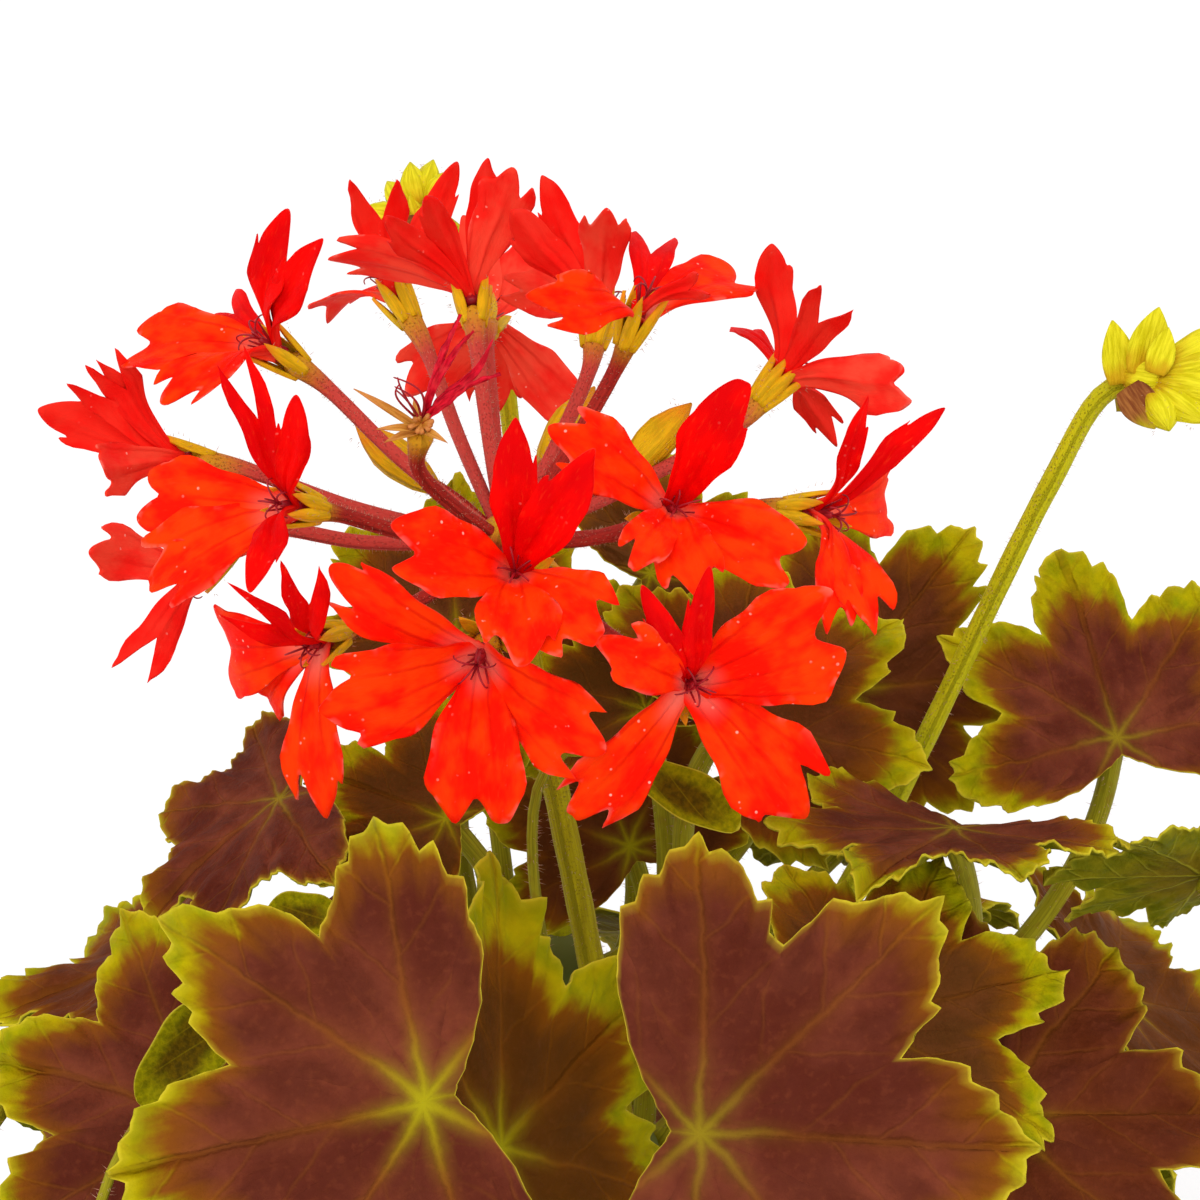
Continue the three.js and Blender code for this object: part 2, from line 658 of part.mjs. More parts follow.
// Flower stalks that rise from the tops of the stems
const PEDUNCLE_R = 1.6;
function peduncle(stemName, points, steps, radius) {
  const ahead = stemCurves[stemName].getTangentAt(1);
  const foot = stemCurves[stemName].getPointAt(1).addScaledVector(ahead, CLEAR);
  const path = new THREE.CatmullRomCurve3([foot, foot.clone().addScaledVector(ahead, 6), ...points]);
  return stalk(path, (t) => radius * (1.12 - 0.2 * t), 6, steps);
}

// An umbel in bud: a hooked stalk, pointed bracts and a cluster of nodding buds
function buddingUmbel(stemName, points, lean, count) {
  const head = points.at(-1);
  const heart = solid(new THREE.IcosahedronGeometry(2.6, 0).translate(head.x, head.y, head.z));
  const solids = [peduncle(stemName, points, 9, PEDUNCLE_R * 0.85), heart];
  for (let k = 0; k < 5; k += 1) {
    const way = around(lean, (k * 2 * Math.PI) / 5, 118 * RAD);
    const from = head.clone().addScaledVector(way, 1.2);
    solids.push(spindle(from, head.clone().addScaledVector(way, 8), BRACT_WIDTH, 1, lean, 4, 0.45));
  }
  for (let k = 0; k < count; k += 1) {
    const way = around(lean, k * 2.4, (14 + 62 * sqrt(k / count)) * RAD);
    const length = 12 - 3 * (k / count);
    const from = head.clone().addScaledVector(way, 1.4);
    const side = around(way, 0, 90 * RAD);
    const tip = head.clone().addScaledVector(way, length);
    solids.push(spindle(from, tip, BUD_WIDTH, BUD_WIDTH, side, 5, 0.6));
  }
  return fuse(solids);
}

// Pot and soil
function lathe(profile, segments) {
  return solid(new THREE.LatheGeometry(profile.map(([r, z]) => new THREE.Vector2(r, z)), segments)
    .rotateX(Math.PI / 2));
}

function potSolid() {
  const bandFoot = POT_HEIGHT - RIM_BAND;
  const bodyR = (z) => POT_BASE_R + ((POT_RIM_R - RIM_STEP - POT_BASE_R) * z) / POT_HEIGHT;
  const body = lathe([
    [0, 0], [POT_BASE_R - 1.5, 0], [POT_BASE_R, 1.5],
    [bodyR(bandFoot), bandFoot], [POT_RIM_R - 1.5, bandFoot + 2],
    [POT_RIM_R, POT_HEIGHT - 2], [POT_RIM_R - 2, POT_HEIGHT], [POT_RIM_R - WALL, POT_HEIGHT - 1],
    [bodyR(bandFoot) - WALL, bandFoot - 2], [POT_BASE_R - WALL + 1, FLOOR], [0, FLOOR],
  ], 28);
  let pot = body;
  for (let k = 0; k < DRAIN_COUNT; k += 1) {
    const turn = (2 * Math.PI * k) / DRAIN_COUNT + 0.5;
    const hole = new THREE.CylinderGeometry(DRAIN_R, DRAIN_R, FLOOR * 3, 8).rotateX(Math.PI / 2)
      .translate(DRAIN_RING_R * cos(turn), DRAIN_RING_R * sin(turn), FLOOR / 2);
    pot = pot.subtract(solid(hole));
  }
  return pot;
}

function soilSolid() {
  const innerR = (z) => {
    const low = POT_BASE_R - WALL + 1;
    const bandFoot = POT_HEIGHT - RIM_BAND;
    const high = POT_BASE_R + ((POT_RIM_R - RIM_STEP - POT_BASE_R) * bandFoot) / POT_HEIGHT - WALL;
    return low + ((high - low) * (z - FLOOR)) / (bandFoot - 2 - FLOOR) - CLEAR * 1.5;
  };
  const edge = POT_HEIGHT - RIM_BAND - 3;
  let soil = lathe([
    [0, FLOOR + CLEAR], [innerR(FLOOR + CLEAR), FLOOR + CLEAR],
    [innerR(edge), edge], [innerR(edge) + 1.2, SOIL_LEVEL - 4],
    [innerR(edge) - 14, SOIL_LEVEL - 1], [22, SOIL_LEVEL + SOIL_MOUND - 2], [0, SOIL_LEVEL + SOIL_MOUND],
  ], 24);
  for (const curve of Object.values(stemCurves)) {
    const bottom = curve.getPointAt(0).add(vec(0, 0, -2));
    const hole = new THREE.LineCurve3(bottom, bottom.clone().setZ(SOIL_LEVEL + 30));
    soil = soil.subtract(stalk(hole, () => STEM_R + 2, 8, 1));
  }
  return soil;
}

const CLAY = "#b5643f";
const EARTH = "#3a2a1e";
const STEM_GREEN = "#6f7a2c";
const BRONZE = "#6b3020";
const SCARLET = "#fb2c08";
const CRIMSON = "#b00c2a";
const MAROON = "#8a3324";
const BUD_GREEN = "#bdb62a";

addNode("pot", potSolid(), CLAY, 0.85);
addNode("soil", soilSolid(), EARTH, 1);
for (const [name, curve] of Object.entries(stemCurves)) {
  addNode(`stem_${name}`, stalk(curve, stemRadius, 7, 7), STEM_GREEN, 0.6);
}
const leaves = [...FRONT_LEAVES.map((row) => ({ name: row.name, ...frontLeaf(row) })), ...ringLeaves()];
leaves.forEach((row, i) => {
  addNode(row.name, leaf({ ...row, form: leafForm(i) }), BRONZE, 0.55);
});
FLOWERS.forEach((row, i) => {
  addNode(`flower_${String(i + 1).padStart(2, "0")}`, corolla(row), SCARLET, 0.5);
});
addNode("flower_faded", corolla(FADED), CRIMSON, 0.6);
const hub = solid(new THREE.IcosahedronGeometry(HUB_R, 0).translate(umbelAt.x, umbelAt.y, umbelAt.z));
const stalks = [peduncle("centre", [seen(-1.6, -36, -27), umbelAt], 8, PEDUNCLE_R), hub];
stalks.push(...FLOWERS.map(pedicel), pedicel(FADED), ...BUDS.map(bud));
addNode("umbel_stalks", fuse(stalks), MAROON, 0.6);
const rightPath = [seen(33.4, -19.7, -30), seen(47, 12, -10), seen(52.5, 20.6, -5), seen(56.5, 21.4, -4)];
const rightLean = along(0.85, -0.35, 0.25).normalize();
addNode("buds_right", buddingUmbel("right", rightPath, rightLean, 8), BUD_GREEN, 0.55);
const backPath = [seen(-9.6, 14, -50), seen(-12.5, 33, -48), seen(-17.5, 43, -47), seen(-20, 43, -45)];
const backLean = along(-0.7, -0.2, 0.2).normalize();
addNode("buds_back", buddingUmbel("back", backPath, backLean, 8), BUD_GREEN, 0.55);

export default group;
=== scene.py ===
import math

import bpy
import numpy as np
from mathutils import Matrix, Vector


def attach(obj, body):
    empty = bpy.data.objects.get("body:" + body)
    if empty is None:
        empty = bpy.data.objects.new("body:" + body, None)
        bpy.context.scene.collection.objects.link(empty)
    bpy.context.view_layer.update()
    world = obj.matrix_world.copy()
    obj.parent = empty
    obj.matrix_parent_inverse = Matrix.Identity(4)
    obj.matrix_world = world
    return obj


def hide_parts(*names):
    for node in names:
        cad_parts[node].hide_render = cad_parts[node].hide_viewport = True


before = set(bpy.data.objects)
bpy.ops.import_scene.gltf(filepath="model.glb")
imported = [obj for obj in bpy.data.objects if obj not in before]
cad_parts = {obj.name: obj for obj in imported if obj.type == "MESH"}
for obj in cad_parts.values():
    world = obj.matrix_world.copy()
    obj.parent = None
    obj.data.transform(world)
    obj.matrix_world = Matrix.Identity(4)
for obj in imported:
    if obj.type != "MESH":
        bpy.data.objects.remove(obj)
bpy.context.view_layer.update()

MM = 0.001
RAD = math.pi / 180
# The photo's view: how steeply the camera looks down, the point it looks at and how far off it is
TILT = 35 * RAD
SIGHT = np.array([0.0, 0.0, 212.0])
EYE_DISTANCE = 320


def along(right, up, near):
    """A step in the photo's own directions."""
    return np.array(
        [
            right,
            up * math.sin(TILT) - near * math.cos(TILT),
            up * math.cos(TILT) + near * math.sin(TILT),
        ]
    )


def seen(right, up, near):
    """A place given from the middle of the photo's view."""
    return SIGHT + along(right, up, near)


def unit(v):
    v = np.asarray(v, float)
    return v / np.maximum(np.linalg.norm(v, axis=-1, keepdims=True), 1e-12)


# Curves


def resample(points, count):
    """count points evenly spaced along a polyline."""
    step = np.linalg.norm(np.diff(points, axis=0), axis=1)
    run = np.concatenate([[0], np.cumsum(step)])
    wanted = np.linspace(0, 1, count) * run[-1]
    return np.stack([np.interp(wanted, run, points[:, k]) for k in range(3)], axis=1)


def catmull(points, count=24):
    """A centripetal Catmull-Rom curve through points, as a dense polyline."""
    p = np.asarray(points, float)
    p = np.vstack([2 * p[0] - p[1], p, 2 * p[-1] - p[-2]])
    made = []
    for i in range(1, len(p) - 2):
        gaps = [np.linalg.norm(p[j + 1] - p[j]) ** 0.5 for j in (i - 1, i, i + 1)]
        a, b, c = [max(g, 1e-4) for g in gaps]
        start = (p[i] - p[i - 1]) / a - (p[i + 1] - p[i - 1]) / (a + b) + (p[i + 1] - p[i]) / b
        end = (p[i + 1] - p[i]) / b - (p[i + 2] - p[i]) / (b + c) + (p[i + 2] - p[i + 1]) / c
        start, end = start * b, end * b
        t = np.linspace(0, 1, count, endpoint=False)[:, None]
        made.append(
            p[i]
            + start * t
            + (-3 * p[i] + 3 * p[i + 1] - 2 * start - end) * t**2
            + (2 * p[i] - 2 * p[i + 1] + start + end) * t**3
        )
    return np.vstack(made + [p[-2][None]])


def bezier(p, count=40):
    t = np.linspace(0, 1, count)[:, None]
    if len(p) == 3:
        return (1 - t) ** 2 * p[0] + 2 * t * (1 - t) * p[1] + t**2 * p[2]
    return (
        (1 - t) ** 3 * p[0] + 3 * t * (1 - t) ** 2 * p[1] + 3 * t**2 * (1 - t) * p[2] + t**3 * p[3]
    )


def frames_of(line):
    """Unit tangents, and two unit normals carried along without twist."""
    ahead = unit(np.gradient(line, axis=0))
    start = np.array([0, 0, 1.0]) if abs(ahead[0][2]) < 0.9 else np.array([1.0, 0, 0])
    first = unit(np.cross(start, ahead[0]))
    normals = [first]
    for k in range(1, len(line)):
        carried = normals[-1] - ahead[k] * np.dot(normals[-1], ahead[k])
        normals.append(unit(carried))
    normals = np.array(normals)
    return ahead, normals, np.cross(ahead, normals)


def around(axis, turn, spread):
    """A direction spread from an axis by an angle."""
    first = np.array([0, 0, 1.0]) if abs(axis[2]) < 0.9 else np.array([1.0, 0, 0])
    side = unit(np.cross(first, axis))
    other = np.cross(axis, side)
    return axis * math.cos(spread) + math.sin(spread) * (
        side * math.cos(turn) + other * math.sin(turn)
    )


def angle_between(a, b):
    return math.acos(float(np.clip(np.dot(unit(a), unit(b)), -1, 1)))


# Meshes


class Form:
    """Vertices, faces and what the materials read, gathered from several shapes into one mesh.

    flat is a place on the surface itself, across, along and a seed. zone is how far along or out a
    point is, whether it is on the underside, and a third share that its material explains. look is
    the same all over a piece, or a petal's edge.
    """

    def __init__(self):
        self.points, self.flat, self.zone, self.look = [], [], [], []
        self.quads, self.tris, self.quad_finish, self.tri_finish = [], [], [], []
        self.count = 0

    def add(self, points, quads=(), tris=(), finish=0, flat=None, zone=(0, 0, 0), look=(0, 0, 0)):
        n = len(points)
        self.points.append(points)
        self.flat.append(points if flat is None else flat)
        self.zone.append(np.broadcast_to(np.asarray(zone, float), (n, 3)))
        self.look.append(np.broadcast_to(np.asarray(look, float), (n, 3)))
        for faces, kept, finishes, corners in (
            (quads, self.quads, self.quad_finish, 4),
            (tris, self.tris, self.tri_finish, 3),
        ):
            if len(faces):
                kept.append(np.asarray(faces, np.int32).reshape(-1, corners) + self.count)
                finishes.append(np.full(len(kept[-1]), finish, np.int32))
        self.count += n

    def make(self, name, materials, slot, *nodes):
        quads = np.vstack(self.quads) if self.quads else np.zeros((0, 4), np.int32)
        tris = np.vstack(self.tris) if self.tris else np.zeros((0, 3), np.int32)
        corners = np.concatenate([quads.ravel(), tris.ravel()])
        starts = np.concatenate(
            [np.arange(len(quads)) * 4, len(quads) * 4 + np.arange(len(tris)) * 3]
        )
        mesh = bpy.data.meshes.new(name)
        points = np.vstack(self.points) * MM
        mesh.vertices.add(len(points))
        mesh.vertices.foreach_set("co", points.astype(np.float32).ravel())
        mesh.loops.add(len(corners))
        mesh.loops.foreach_set("vertex_index", corners.astype(np.int32))
        mesh.polygons.add(len(starts))
        mesh.polygons.foreach_set("loop_start", starts.astype(np.int32))
        mesh.polygons.foreach_set("use_smooth", np.ones(len(starts), bool))
        finishes = np.concatenate(self.quad_finish + self.tri_finish)
        mesh.polygons.foreach_set("material_index", finishes)
        mesh.update(calc_edges=True)
        mesh.validate()
        for key, rows in (("flat", self.flat), ("zone", self.zone), ("look", self.look)):
            layer = mesh.attributes.new(key, "FLOAT_VECTOR", "POINT")
            layer.data.foreach_set("vector", np.vstack(rows).astype(np.float32).ravel())
        for material in materials:
            mesh.materials.append(material)
        piece = bpy.data.objects.new(name, mesh)
        bpy.context.scene.collection.objects.link(piece)
        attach(piece, "root")
        if nodes:
            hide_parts(*nodes)
        return piece


def grid(rows, columns, closed=False):
    """Quads over rows of points. A closed grid joins its last column to its first."""
    row, col = np.meshgrid(np.arange(rows - 1), np.arange(columns - (not closed)), indexing="ij")
    a, b = row * columns + col, row * columns + (col + 1) % columns
    return np.stack([a, b, b + columns, a + columns], axis=-1).reshape(-1, 4)


def flipped(quads):
    return quads[:, [0, 3, 2, 1]]


def rim_of(rows, columns):
    """The outline of an open grid of points, all the way round."""
    return np.concatenate(
        [
            np.arange(columns),
            np.arange(1, rows) * columns + columns - 1,
            (rows - 1) * columns + np.arange(columns - 2, -1, -1),
            np.arange(rows - 2, 0, -1) * columns,
        ]
    )


def tube(form, line, radii, sides=10, finish=0, seed=0.0, look=(0, 0, 0), ridge=0.0, pointed=False):
    """A stalk with closed ends. Its flat coordinates are mm round, mm along and a seed."""
    line = np.asarray(line, float)
    count = len(line)
    radii = np.broadcast_to(np.asarray(radii, float), (count,))
    ahead, normals, others = frames_of(line)
    turn = np.arange(sides) * 2 * math.pi / sides
    shape = 1 + ridge * np.cos(5 * turn)
    ring = radii[:, None, None] * shape[None, :, None]
    spread = (
        np.cos(turn)[None, :, None] * normals[:, None]
        + np.sin(turn)[None, :, None] * others[:, None]
    )
    points = (line[:, None] + ring * spread).reshape(-1, 3)
    run = np.concatenate([[0], np.cumsum(np.linalg.norm(np.diff(line, axis=0), axis=1))])
    flat = np.stack(
        [
            np.tile(turn * radii.max(), count),
            np.repeat(run, sides),
            np.full(count * sides, seed),
        ],
        axis=1,
    )
    share = np.repeat(run / max(run[-1], 1e-9), sides)
    zone = np.stack([share, np.zeros_like(share), np.zeros_like(share)], axis=1)
    tip = line[-1] + ahead[-1] * (radii[-1] * (2.5 if pointed else 0.6))
    foot = line[0] - ahead[0] * radii[0] * 0.4
    points = np.vstack([points, foot, tip])
    flat = np.vstack([flat, [[0, 0, seed], [0, run[-1], seed]]])
    zone = np.vstack([zone, [[0, 0, 0], [1, 0, 0]]])
    k = np.arange(sides)
    first = np.stack([np.full(sides, count * sides), (k + 1) % sides, k], axis=1)
    last_ring = (count - 1) * sides
    last = np.stack(
        [np.full(sides, count * sides + 1), last_ring + k, last_ring + (k + 1) % sides], axis=1
    )
    ends = np.vstack([first, last])
    form.add(points, grid(count, sides, True), ends, finish, flat, zone, look)


def sheet(form, middle, normals, thick, quads, tris, loop, finish, flat, zone, look=(0, 0, 0)):
    """A thin sheet with two faces and a wall round its edge. zone's second number says which face."""
    n = len(middle)
    half = np.asarray(thick, float).reshape(-1, 1) / 2 * np.ones((n, 1))
    points = np.vstack([middle + normals * half, middle - normals * half])
    quads, tris = np.asarray(quads).reshape(-1, 4), np.asarray(tris).reshape(-1, 3)
    loop = np.asarray(loop)
    after = np.roll(loop, -1)
    wall = np.stack([loop, loop + n, after + n, after], axis=1)
    every_quad = np.vstack([quads, quads[:, ::-1] + n, wall])
    every_tri = np.vstack([tris, tris[:, ::-1] + n])
    zone = np.asarray(zone, float)
    under = zone.copy()
    under[:, 1] = 1
    form.add(
        points,
        every_quad,
        every_tri,
        finish,
        np.vstack([flat, flat]),
        np.vstack([zone, under]),
        look,
    )


def hairs(form, line, radii, count, length, rng, finish=0, thick=0.045, span=(0, 1)):
    """Short fine hairs standing on a stalk."""
    ahead, normals, others = frames_of(line)
    share = rng.uniform(span[0], span[1], count) * (len(line) - 1)
    low = np.clip(share.astype(int), 0, len(line) - 2)
    part = (share - low)[:, None]
    centre = line[low] * (1 - part) + line[low + 1] * part
    radius = np.broadcast_to(radii, (len(line),))[low][:, None]
    turn = rng.uniform(0, 2 * math.pi, count)[:, None]
    out = normals[low] * np.cos(turn) + others[low] * np.sin(turn)
    lean = ahead[low] * rng.normal(0.15, 0.25, (count, 1)) + rng.normal(0, 0.12, (count, 3))
    root = centre + out * radius * 0.93
    tip = root + unit(out + lean) * length * rng.uniform(0.55, 1.2, (count, 1))
    points = []
    for k in range(3):
        angle = 2 * math.pi * k / 3
        sideways = ahead[low] * math.cos(angle) + np.cross(out, ahead[low]) * math.sin(angle)
        points.append(root + sideways * thick)
    points.append(tip)
    points = np.stack(points, axis=1).reshape(-1, 3)
    base = np.arange(count)[:, None, None] * 4
    tris = base + np.array([[0, 1, 3], [1, 2, 3], [2, 0, 3]])[None]
    form.add(points, (), tris.reshape(-1, 3), finish)


# Node materials, written as sums. Each ends in finish_of, which gives the material back


class Value:
    """A node's output that can be added to, multiplied and passed on. It holds the open material."""

    made = tree = None

    def __init__(self, socket):
        self.socket = socket

    def __add__(self, other):
        return calc("ADD", self, other)

    def __sub__(self, other):
        return calc("SUBTRACT", self, other)

    def __rsub__(self, other):
        return calc("SUBTRACT", other, self)

    def __mul__(self, other):
        return calc("MULTIPLY", self, other)

    __radd__ = __add__
    __rmul__ = __mul__


def feed(socket, value):
    """Links a node's output to a socket, or sets the socket's own number or colour."""
    if isinstance(value, Value):
        Value.tree.links.new(value.socket, socket)
    elif isinstance(value, tuple) and len(value) == 3 and socket.type == "RGBA":
        socket.default_value = (*value, 1)
    else:
        socket.default_value = value


def calc(operation, *args):
    node = Value.tree.nodes.new("ShaderNodeMath")
    node.operation = operation
    for socket, value in zip(node.inputs, args):
        feed(socket, value)
    return Value(node.outputs[0])


def attribute(name):
    node = Value.tree.nodes.new("ShaderNodeAttribute")
    node.attribute_name = name
    return Value(node.outputs["Vector"])


def parts(vector):
    node = Value.tree.nodes.new("ShaderNodeSeparateXYZ")
    feed(node.inputs[0], vector)
    return [Value(out) for out in node.outputs]


def joined(x, y, z):
    node = Value.tree.nodes.new("ShaderNodeCombineXYZ")
    for socket, value in zip(node.inputs, (x, y, z)):
        feed(socket, value)
    return Value(node.outputs[0])


def place():
    return Value(Value.tree.nodes.new("ShaderNodeTexCoord").outputs["Object"])


def noise(vector, scale, detail=3.0, rough=0.55):
    node = Value.tree.nodes.new("ShaderNodeTexNoise")
    feed(node.inputs["Vector"], vector)
    node.inputs["Scale"].default_value = scale
    node.inputs["Detail"].default_value = detail
    node.inputs["Roughness"].default_value = rough
    return Value(node.outputs["Fac"])


def cells(vector, scale, feature="F1"):
    node = Value.tree.nodes.new("ShaderNodeTexVoronoi")
    node.feature = feature
    feed(node.inputs["Vector"], vector)
    node.inputs["Scale"].default_value = scale
    return Value(node.outputs["Distance"])


def ramp(value, low, high, start=0.0, end=1.0):
    """A smooth step from start to end as value goes from low to high."""
    node = Value.tree.nodes.new("ShaderNodeMapRange")
    node.interpolation_type = "SMOOTHSTEP"
    for name, number in (
        ("Value", value),
        ("From Min", low),
        ("From Max", high),
        ("To Min", start),
        ("To Max", end),
    ):
        feed(node.inputs[name], number)
    return Value(node.outputs[0])


def apart(value):
    """How far a value is from the nearest half: 0 there, 0.5 at a whole number."""
    return calc("ABSOLUTE", calc("SUBTRACT", calc("FRACT", value), 0.5))


def blend(share, first, second):
    node = Value.tree.nodes.new("ShaderNodeMix")
    node.data_type = "RGBA"
    node.clamp_factor = True
    feed(node.inputs[0], share)
    feed(node.inputs[6], first)
    feed(node.inputs[7], second)
    return Value(node.outputs[2])


def mottled(field, first, second, low=0.35, high=0.65):
    """Two colours in turn, as a noise field goes from low to high."""
    return blend(ramp(field, low, high), first, second)


def finish_of(colour, roughness, bump, depth, specular):
    """Ends a material. Depth is how far its relief stands out, in metres."""
    shader = Value.tree.nodes["Principled BSDF"]
    feed(shader.inputs["Base Color"], colour)
    feed(shader.inputs["Roughness"], roughness)
    shader.inputs["Specular IOR Level"].default_value = specular
    if bump is not None:
        node = Value.tree.nodes.new("ShaderNodeBump")
        node.inputs["Distance"].default_value = depth
        feed(node.inputs["Height"], bump)
        feed(shader.inputs["Normal"], Value(node.outputs[0]))
    return Value.made


def material(name):
    """Starts a material. The nodes asked for from here on are its own."""
    Value.made = bpy.data.materials.new(name)
    Value.made.use_nodes = True
    Value.tree = Value.made.node_tree


# Leaf blade: bronze with a yellow-green margin, yellow-green veins from the centre, green underneath
LOBE_STEP = 46.5


def leaf_material(name, star):
    """A blade. star is how bright its veins are near the middle, and zone's third number where a painted
    highlight runs along its rim.
    """
    material(name)
    flat = attribute("flat")
    x, y, seed = parts(flat)
    rim, under, rim_highlight = parts(attribute("zone"))
    margin, warmth, green = parts(attribute("look"))
    broad = noise(flat, 2.2, 3)
    fine = noise(flat, 9, 4)
    drift = noise(joined(x + 7.3, y - 2.1, seed), 3.4, 2)
    wx = x + (fine - 0.5) * 0.04 + (drift - 0.5) * 0.06
    wy = y + (broad - 0.5) * 0.05 + (noise(joined(y, x, seed), 8, 3) - 0.5) * 0.035
    reach = calc("SQRT", wx * wx + wy * wy)
    angle = calc("ARCTAN2", wy, wx)
    half = LOBE_STEP * RAD / 2
    off = calc("WRAP", angle, half, -half)
    lobe = calc("FLOOR", (angle + half) * (1 / (2 * half)))
    ahead = reach * calc("COSINE", off)
    aside = reach * calc("SINE", off)
    away = calc("ABSOLUTE", aside)
    side = ramp(aside, -0.002, 0.002)
    core = ramp(away, 0.0, calc("MAXIMUM", 0.024 - ahead * 0.012, 0.012), 1, 0)
    halo = ramp(away, 0.0, calc("MAXIMUM", 0.062 - ahead * 0.02, 0.04), 1, 0)
    stripe = (ahead - away * 1.05 + side * 0.085 + lobe * 0.037) * (1 / 0.24)
    gap = apart(stripe)
    lateral = ramp(gap, 0.0, 0.075, 1, 0) * ramp(ahead, 0.2, 0.4) * ramp(away, 0.3, 0.1)
    net = cells(joined(wx, wy, seed), 11, "DISTANCE_TO_EDGE")
    mesh = ramp(net, 0.0, 0.08, 1, 0)
    vein = calc("MAXIMUM", core, calc("MAXIMUM", lateral * 0.6, mesh * 0.06))
    heart = ramp(reach, 0.0, 0.075, 1, 0)
    between = ramp(gap, 0.08, 0.4) * ramp(away, 0.02, 0.12) * ramp(broad, 0.3, 0.6)
    grain = noise(flat, 30, 4)
    dark = mottled(broad, (0.098, 0.017, 0.0085), (0.185, 0.04, 0.019), 0.36, 0.64)
    bronze = blend(ramp(fine, 0.3, 0.7) * 0.4, dark, (0.085, 0.0125, 0.0055))
    bronze = blend(warmth, bronze, (0.12, 0.024, 0.002))
    bronze = blend(between * 0.5, bronze, (0.066, 0.0115, 0.0065))
    bronze = blend(ramp(grain, 0.5, 0.72) * 0.2, bronze, (0.24, 0.055, 0.02))
    bronze = blend(ramp(grain, 0.46, 0.3) * 0.15, bronze, (0.055, 0.009, 0.005))
    bronze = blend(green, bronze, (0.105, 0.058, 0.002))
    rust = (0.25, 0.075, 0.002)
    bright = mottled(fine, (0.27, 0.27, 0.0006), (0.46, 0.38, 0.001), 0.35, 0.7)
    bright = blend(ramp(drift, 0.42, 0.62) * 0.5, bright, (0.42, 0.3, 0.001))
    streak = noise(joined(angle * 5.5, reach * 1.3, seed), 1.6, 3)
    edge = rim + (fine - 0.5) * 0.08 + (broad - 0.5) * 0.12 + (streak - 0.5) * 0.2 + vein * 0.05
    edge = edge + margin
    body = blend(ramp(edge, 0.66, 0.9) * 0.8, bronze, rust)
    top = blend(ramp(edge, 0.83, 0.97), body, bright)
    glow = mottled(reach, (0.4, 0.33, 0.003), (0.28, 0.09, 0.006), 0.03, 0.3)
    top = blend(halo * ramp(reach, 0.0, 0.45, 0.34 * star, 0.1), top, glow)
    top = blend(vein * ramp(reach, 0.05, 0.5, 0.2 + 0.3 * star, 0.22), top, glow)
    top = blend(heart * (0.15 + 0.4 * star), top, (0.42, 0.38, 0.006))
    # painted highlight: a bright yellow line along the rim, on the top face
    top = blend(rim_highlight * ramp(fine, 0.3, 0.7, 0.6, 1.0), top, (0.72, 0.58, 0.03))
    shade = mottled(fine, (0.12, 0.125, 0.002), (0.21, 0.18, 0.004), 0.3, 0.7)
    shade = blend(ramp(edge, 0.8, 0.3) * 0.5, shade, (0.13, 0.055, 0.004))
    shade = blend(vein * 0.65, shade, (0.34, 0.31, 0.02))
    # painted highlight: the same bright line along the rim, on the underside
    shade = blend(rim_highlight * 0.7, shade, (0.55, 0.48, 0.03))
    colour = blend(under, top, shade)
    rough = ramp(fine, 0.2, 0.8, 0.58, 0.74)
    relief = (fine * 0.4 + grain * 0.3 + noise(flat, 60, 2) * 0.1) - vein * 0.4 * (1.0 - under * 2.0)
    return finish_of(colour, rough, relief + between * 0.8, 0.0005, 0.03)


def fold_material():
    material("leaf_fold")
    flat = attribute("flat")
    across, run, _ = parts(flat)
    edge = parts(attribute("zone"))[2]
    broad, fine = noise(flat, 0.35, 3), noise(flat, 1.6, 4)
    lines = apart(across * 0.5 + run * 0.22)
    inner = mottled(fine, (0.075, 0.045, 0.002), (0.15, 0.085, 0.002), 0.3, 0.7)
    outer = mottled(fine, (0.22, 0.2, 0.001), (0.38, 0.33, 0.002), 0.3, 0.7)
    colour = blend(ramp(edge + (broad - 0.5) * 0.6, 0.3, 0.8), inner, outer)
    colour = blend(ramp(lines, 0.06, 0.01) * 0.3, colour, (0.34, 0.25, 0.004))
    # painted highlight: a bright yellow line along the rim
    colour = blend(ramp(edge, 0.94, 0.99) * 0.8, colour, (0.7, 0.56, 0.04))
    return finish_of(colour, ramp(fine, 0.2, 0.8, 0.58, 0.72), fine, 0.0003, 0.03)


def petiole_material():
    material("leaf_stalk")
    flat = attribute("flat")
    across, run, seed = parts(flat)
    grain = noise(flat, 0.6, 3)
    streak = noise(joined(across * 3.0, run * 0.12, seed), 1.4, 2)
    green = mottled(streak, (0.23, 0.2, 0.005), (0.36, 0.31, 0.01))
    colour = blend(ramp(grain, 0.5, 0.75) * 0.45, green, (0.24, 0.1, 0.01))
    return finish_of(colour, ramp(grain, 0.2, 0.8, 0.5, 0.65), streak, 0.0001, 0.08)


def stem_material():
    material("stem_bark")
    spot = place()
    grain = noise(spot, 260, 4)
    broad = noise(spot, 60, 3)
    share, rings, _ = parts(attribute("zone"))
    green = mottled(broad, (0.13, 0.15, 0.025), (0.2, 0.17, 0.04))
    bark = mottled(grain, (0.2, 0.13, 0.06), (0.1, 0.06, 0.03))
    colour = blend(ramp(share + (broad - 0.5) * 0.5, 0.75, 0.2), green, bark)
    colour = blend(rings, colour, (0.09, 0.05, 0.028))
    return finish_of(colour, ramp(grain, 0.2, 0.8, 0.5, 0.75), grain, 0.0004, 0.2)


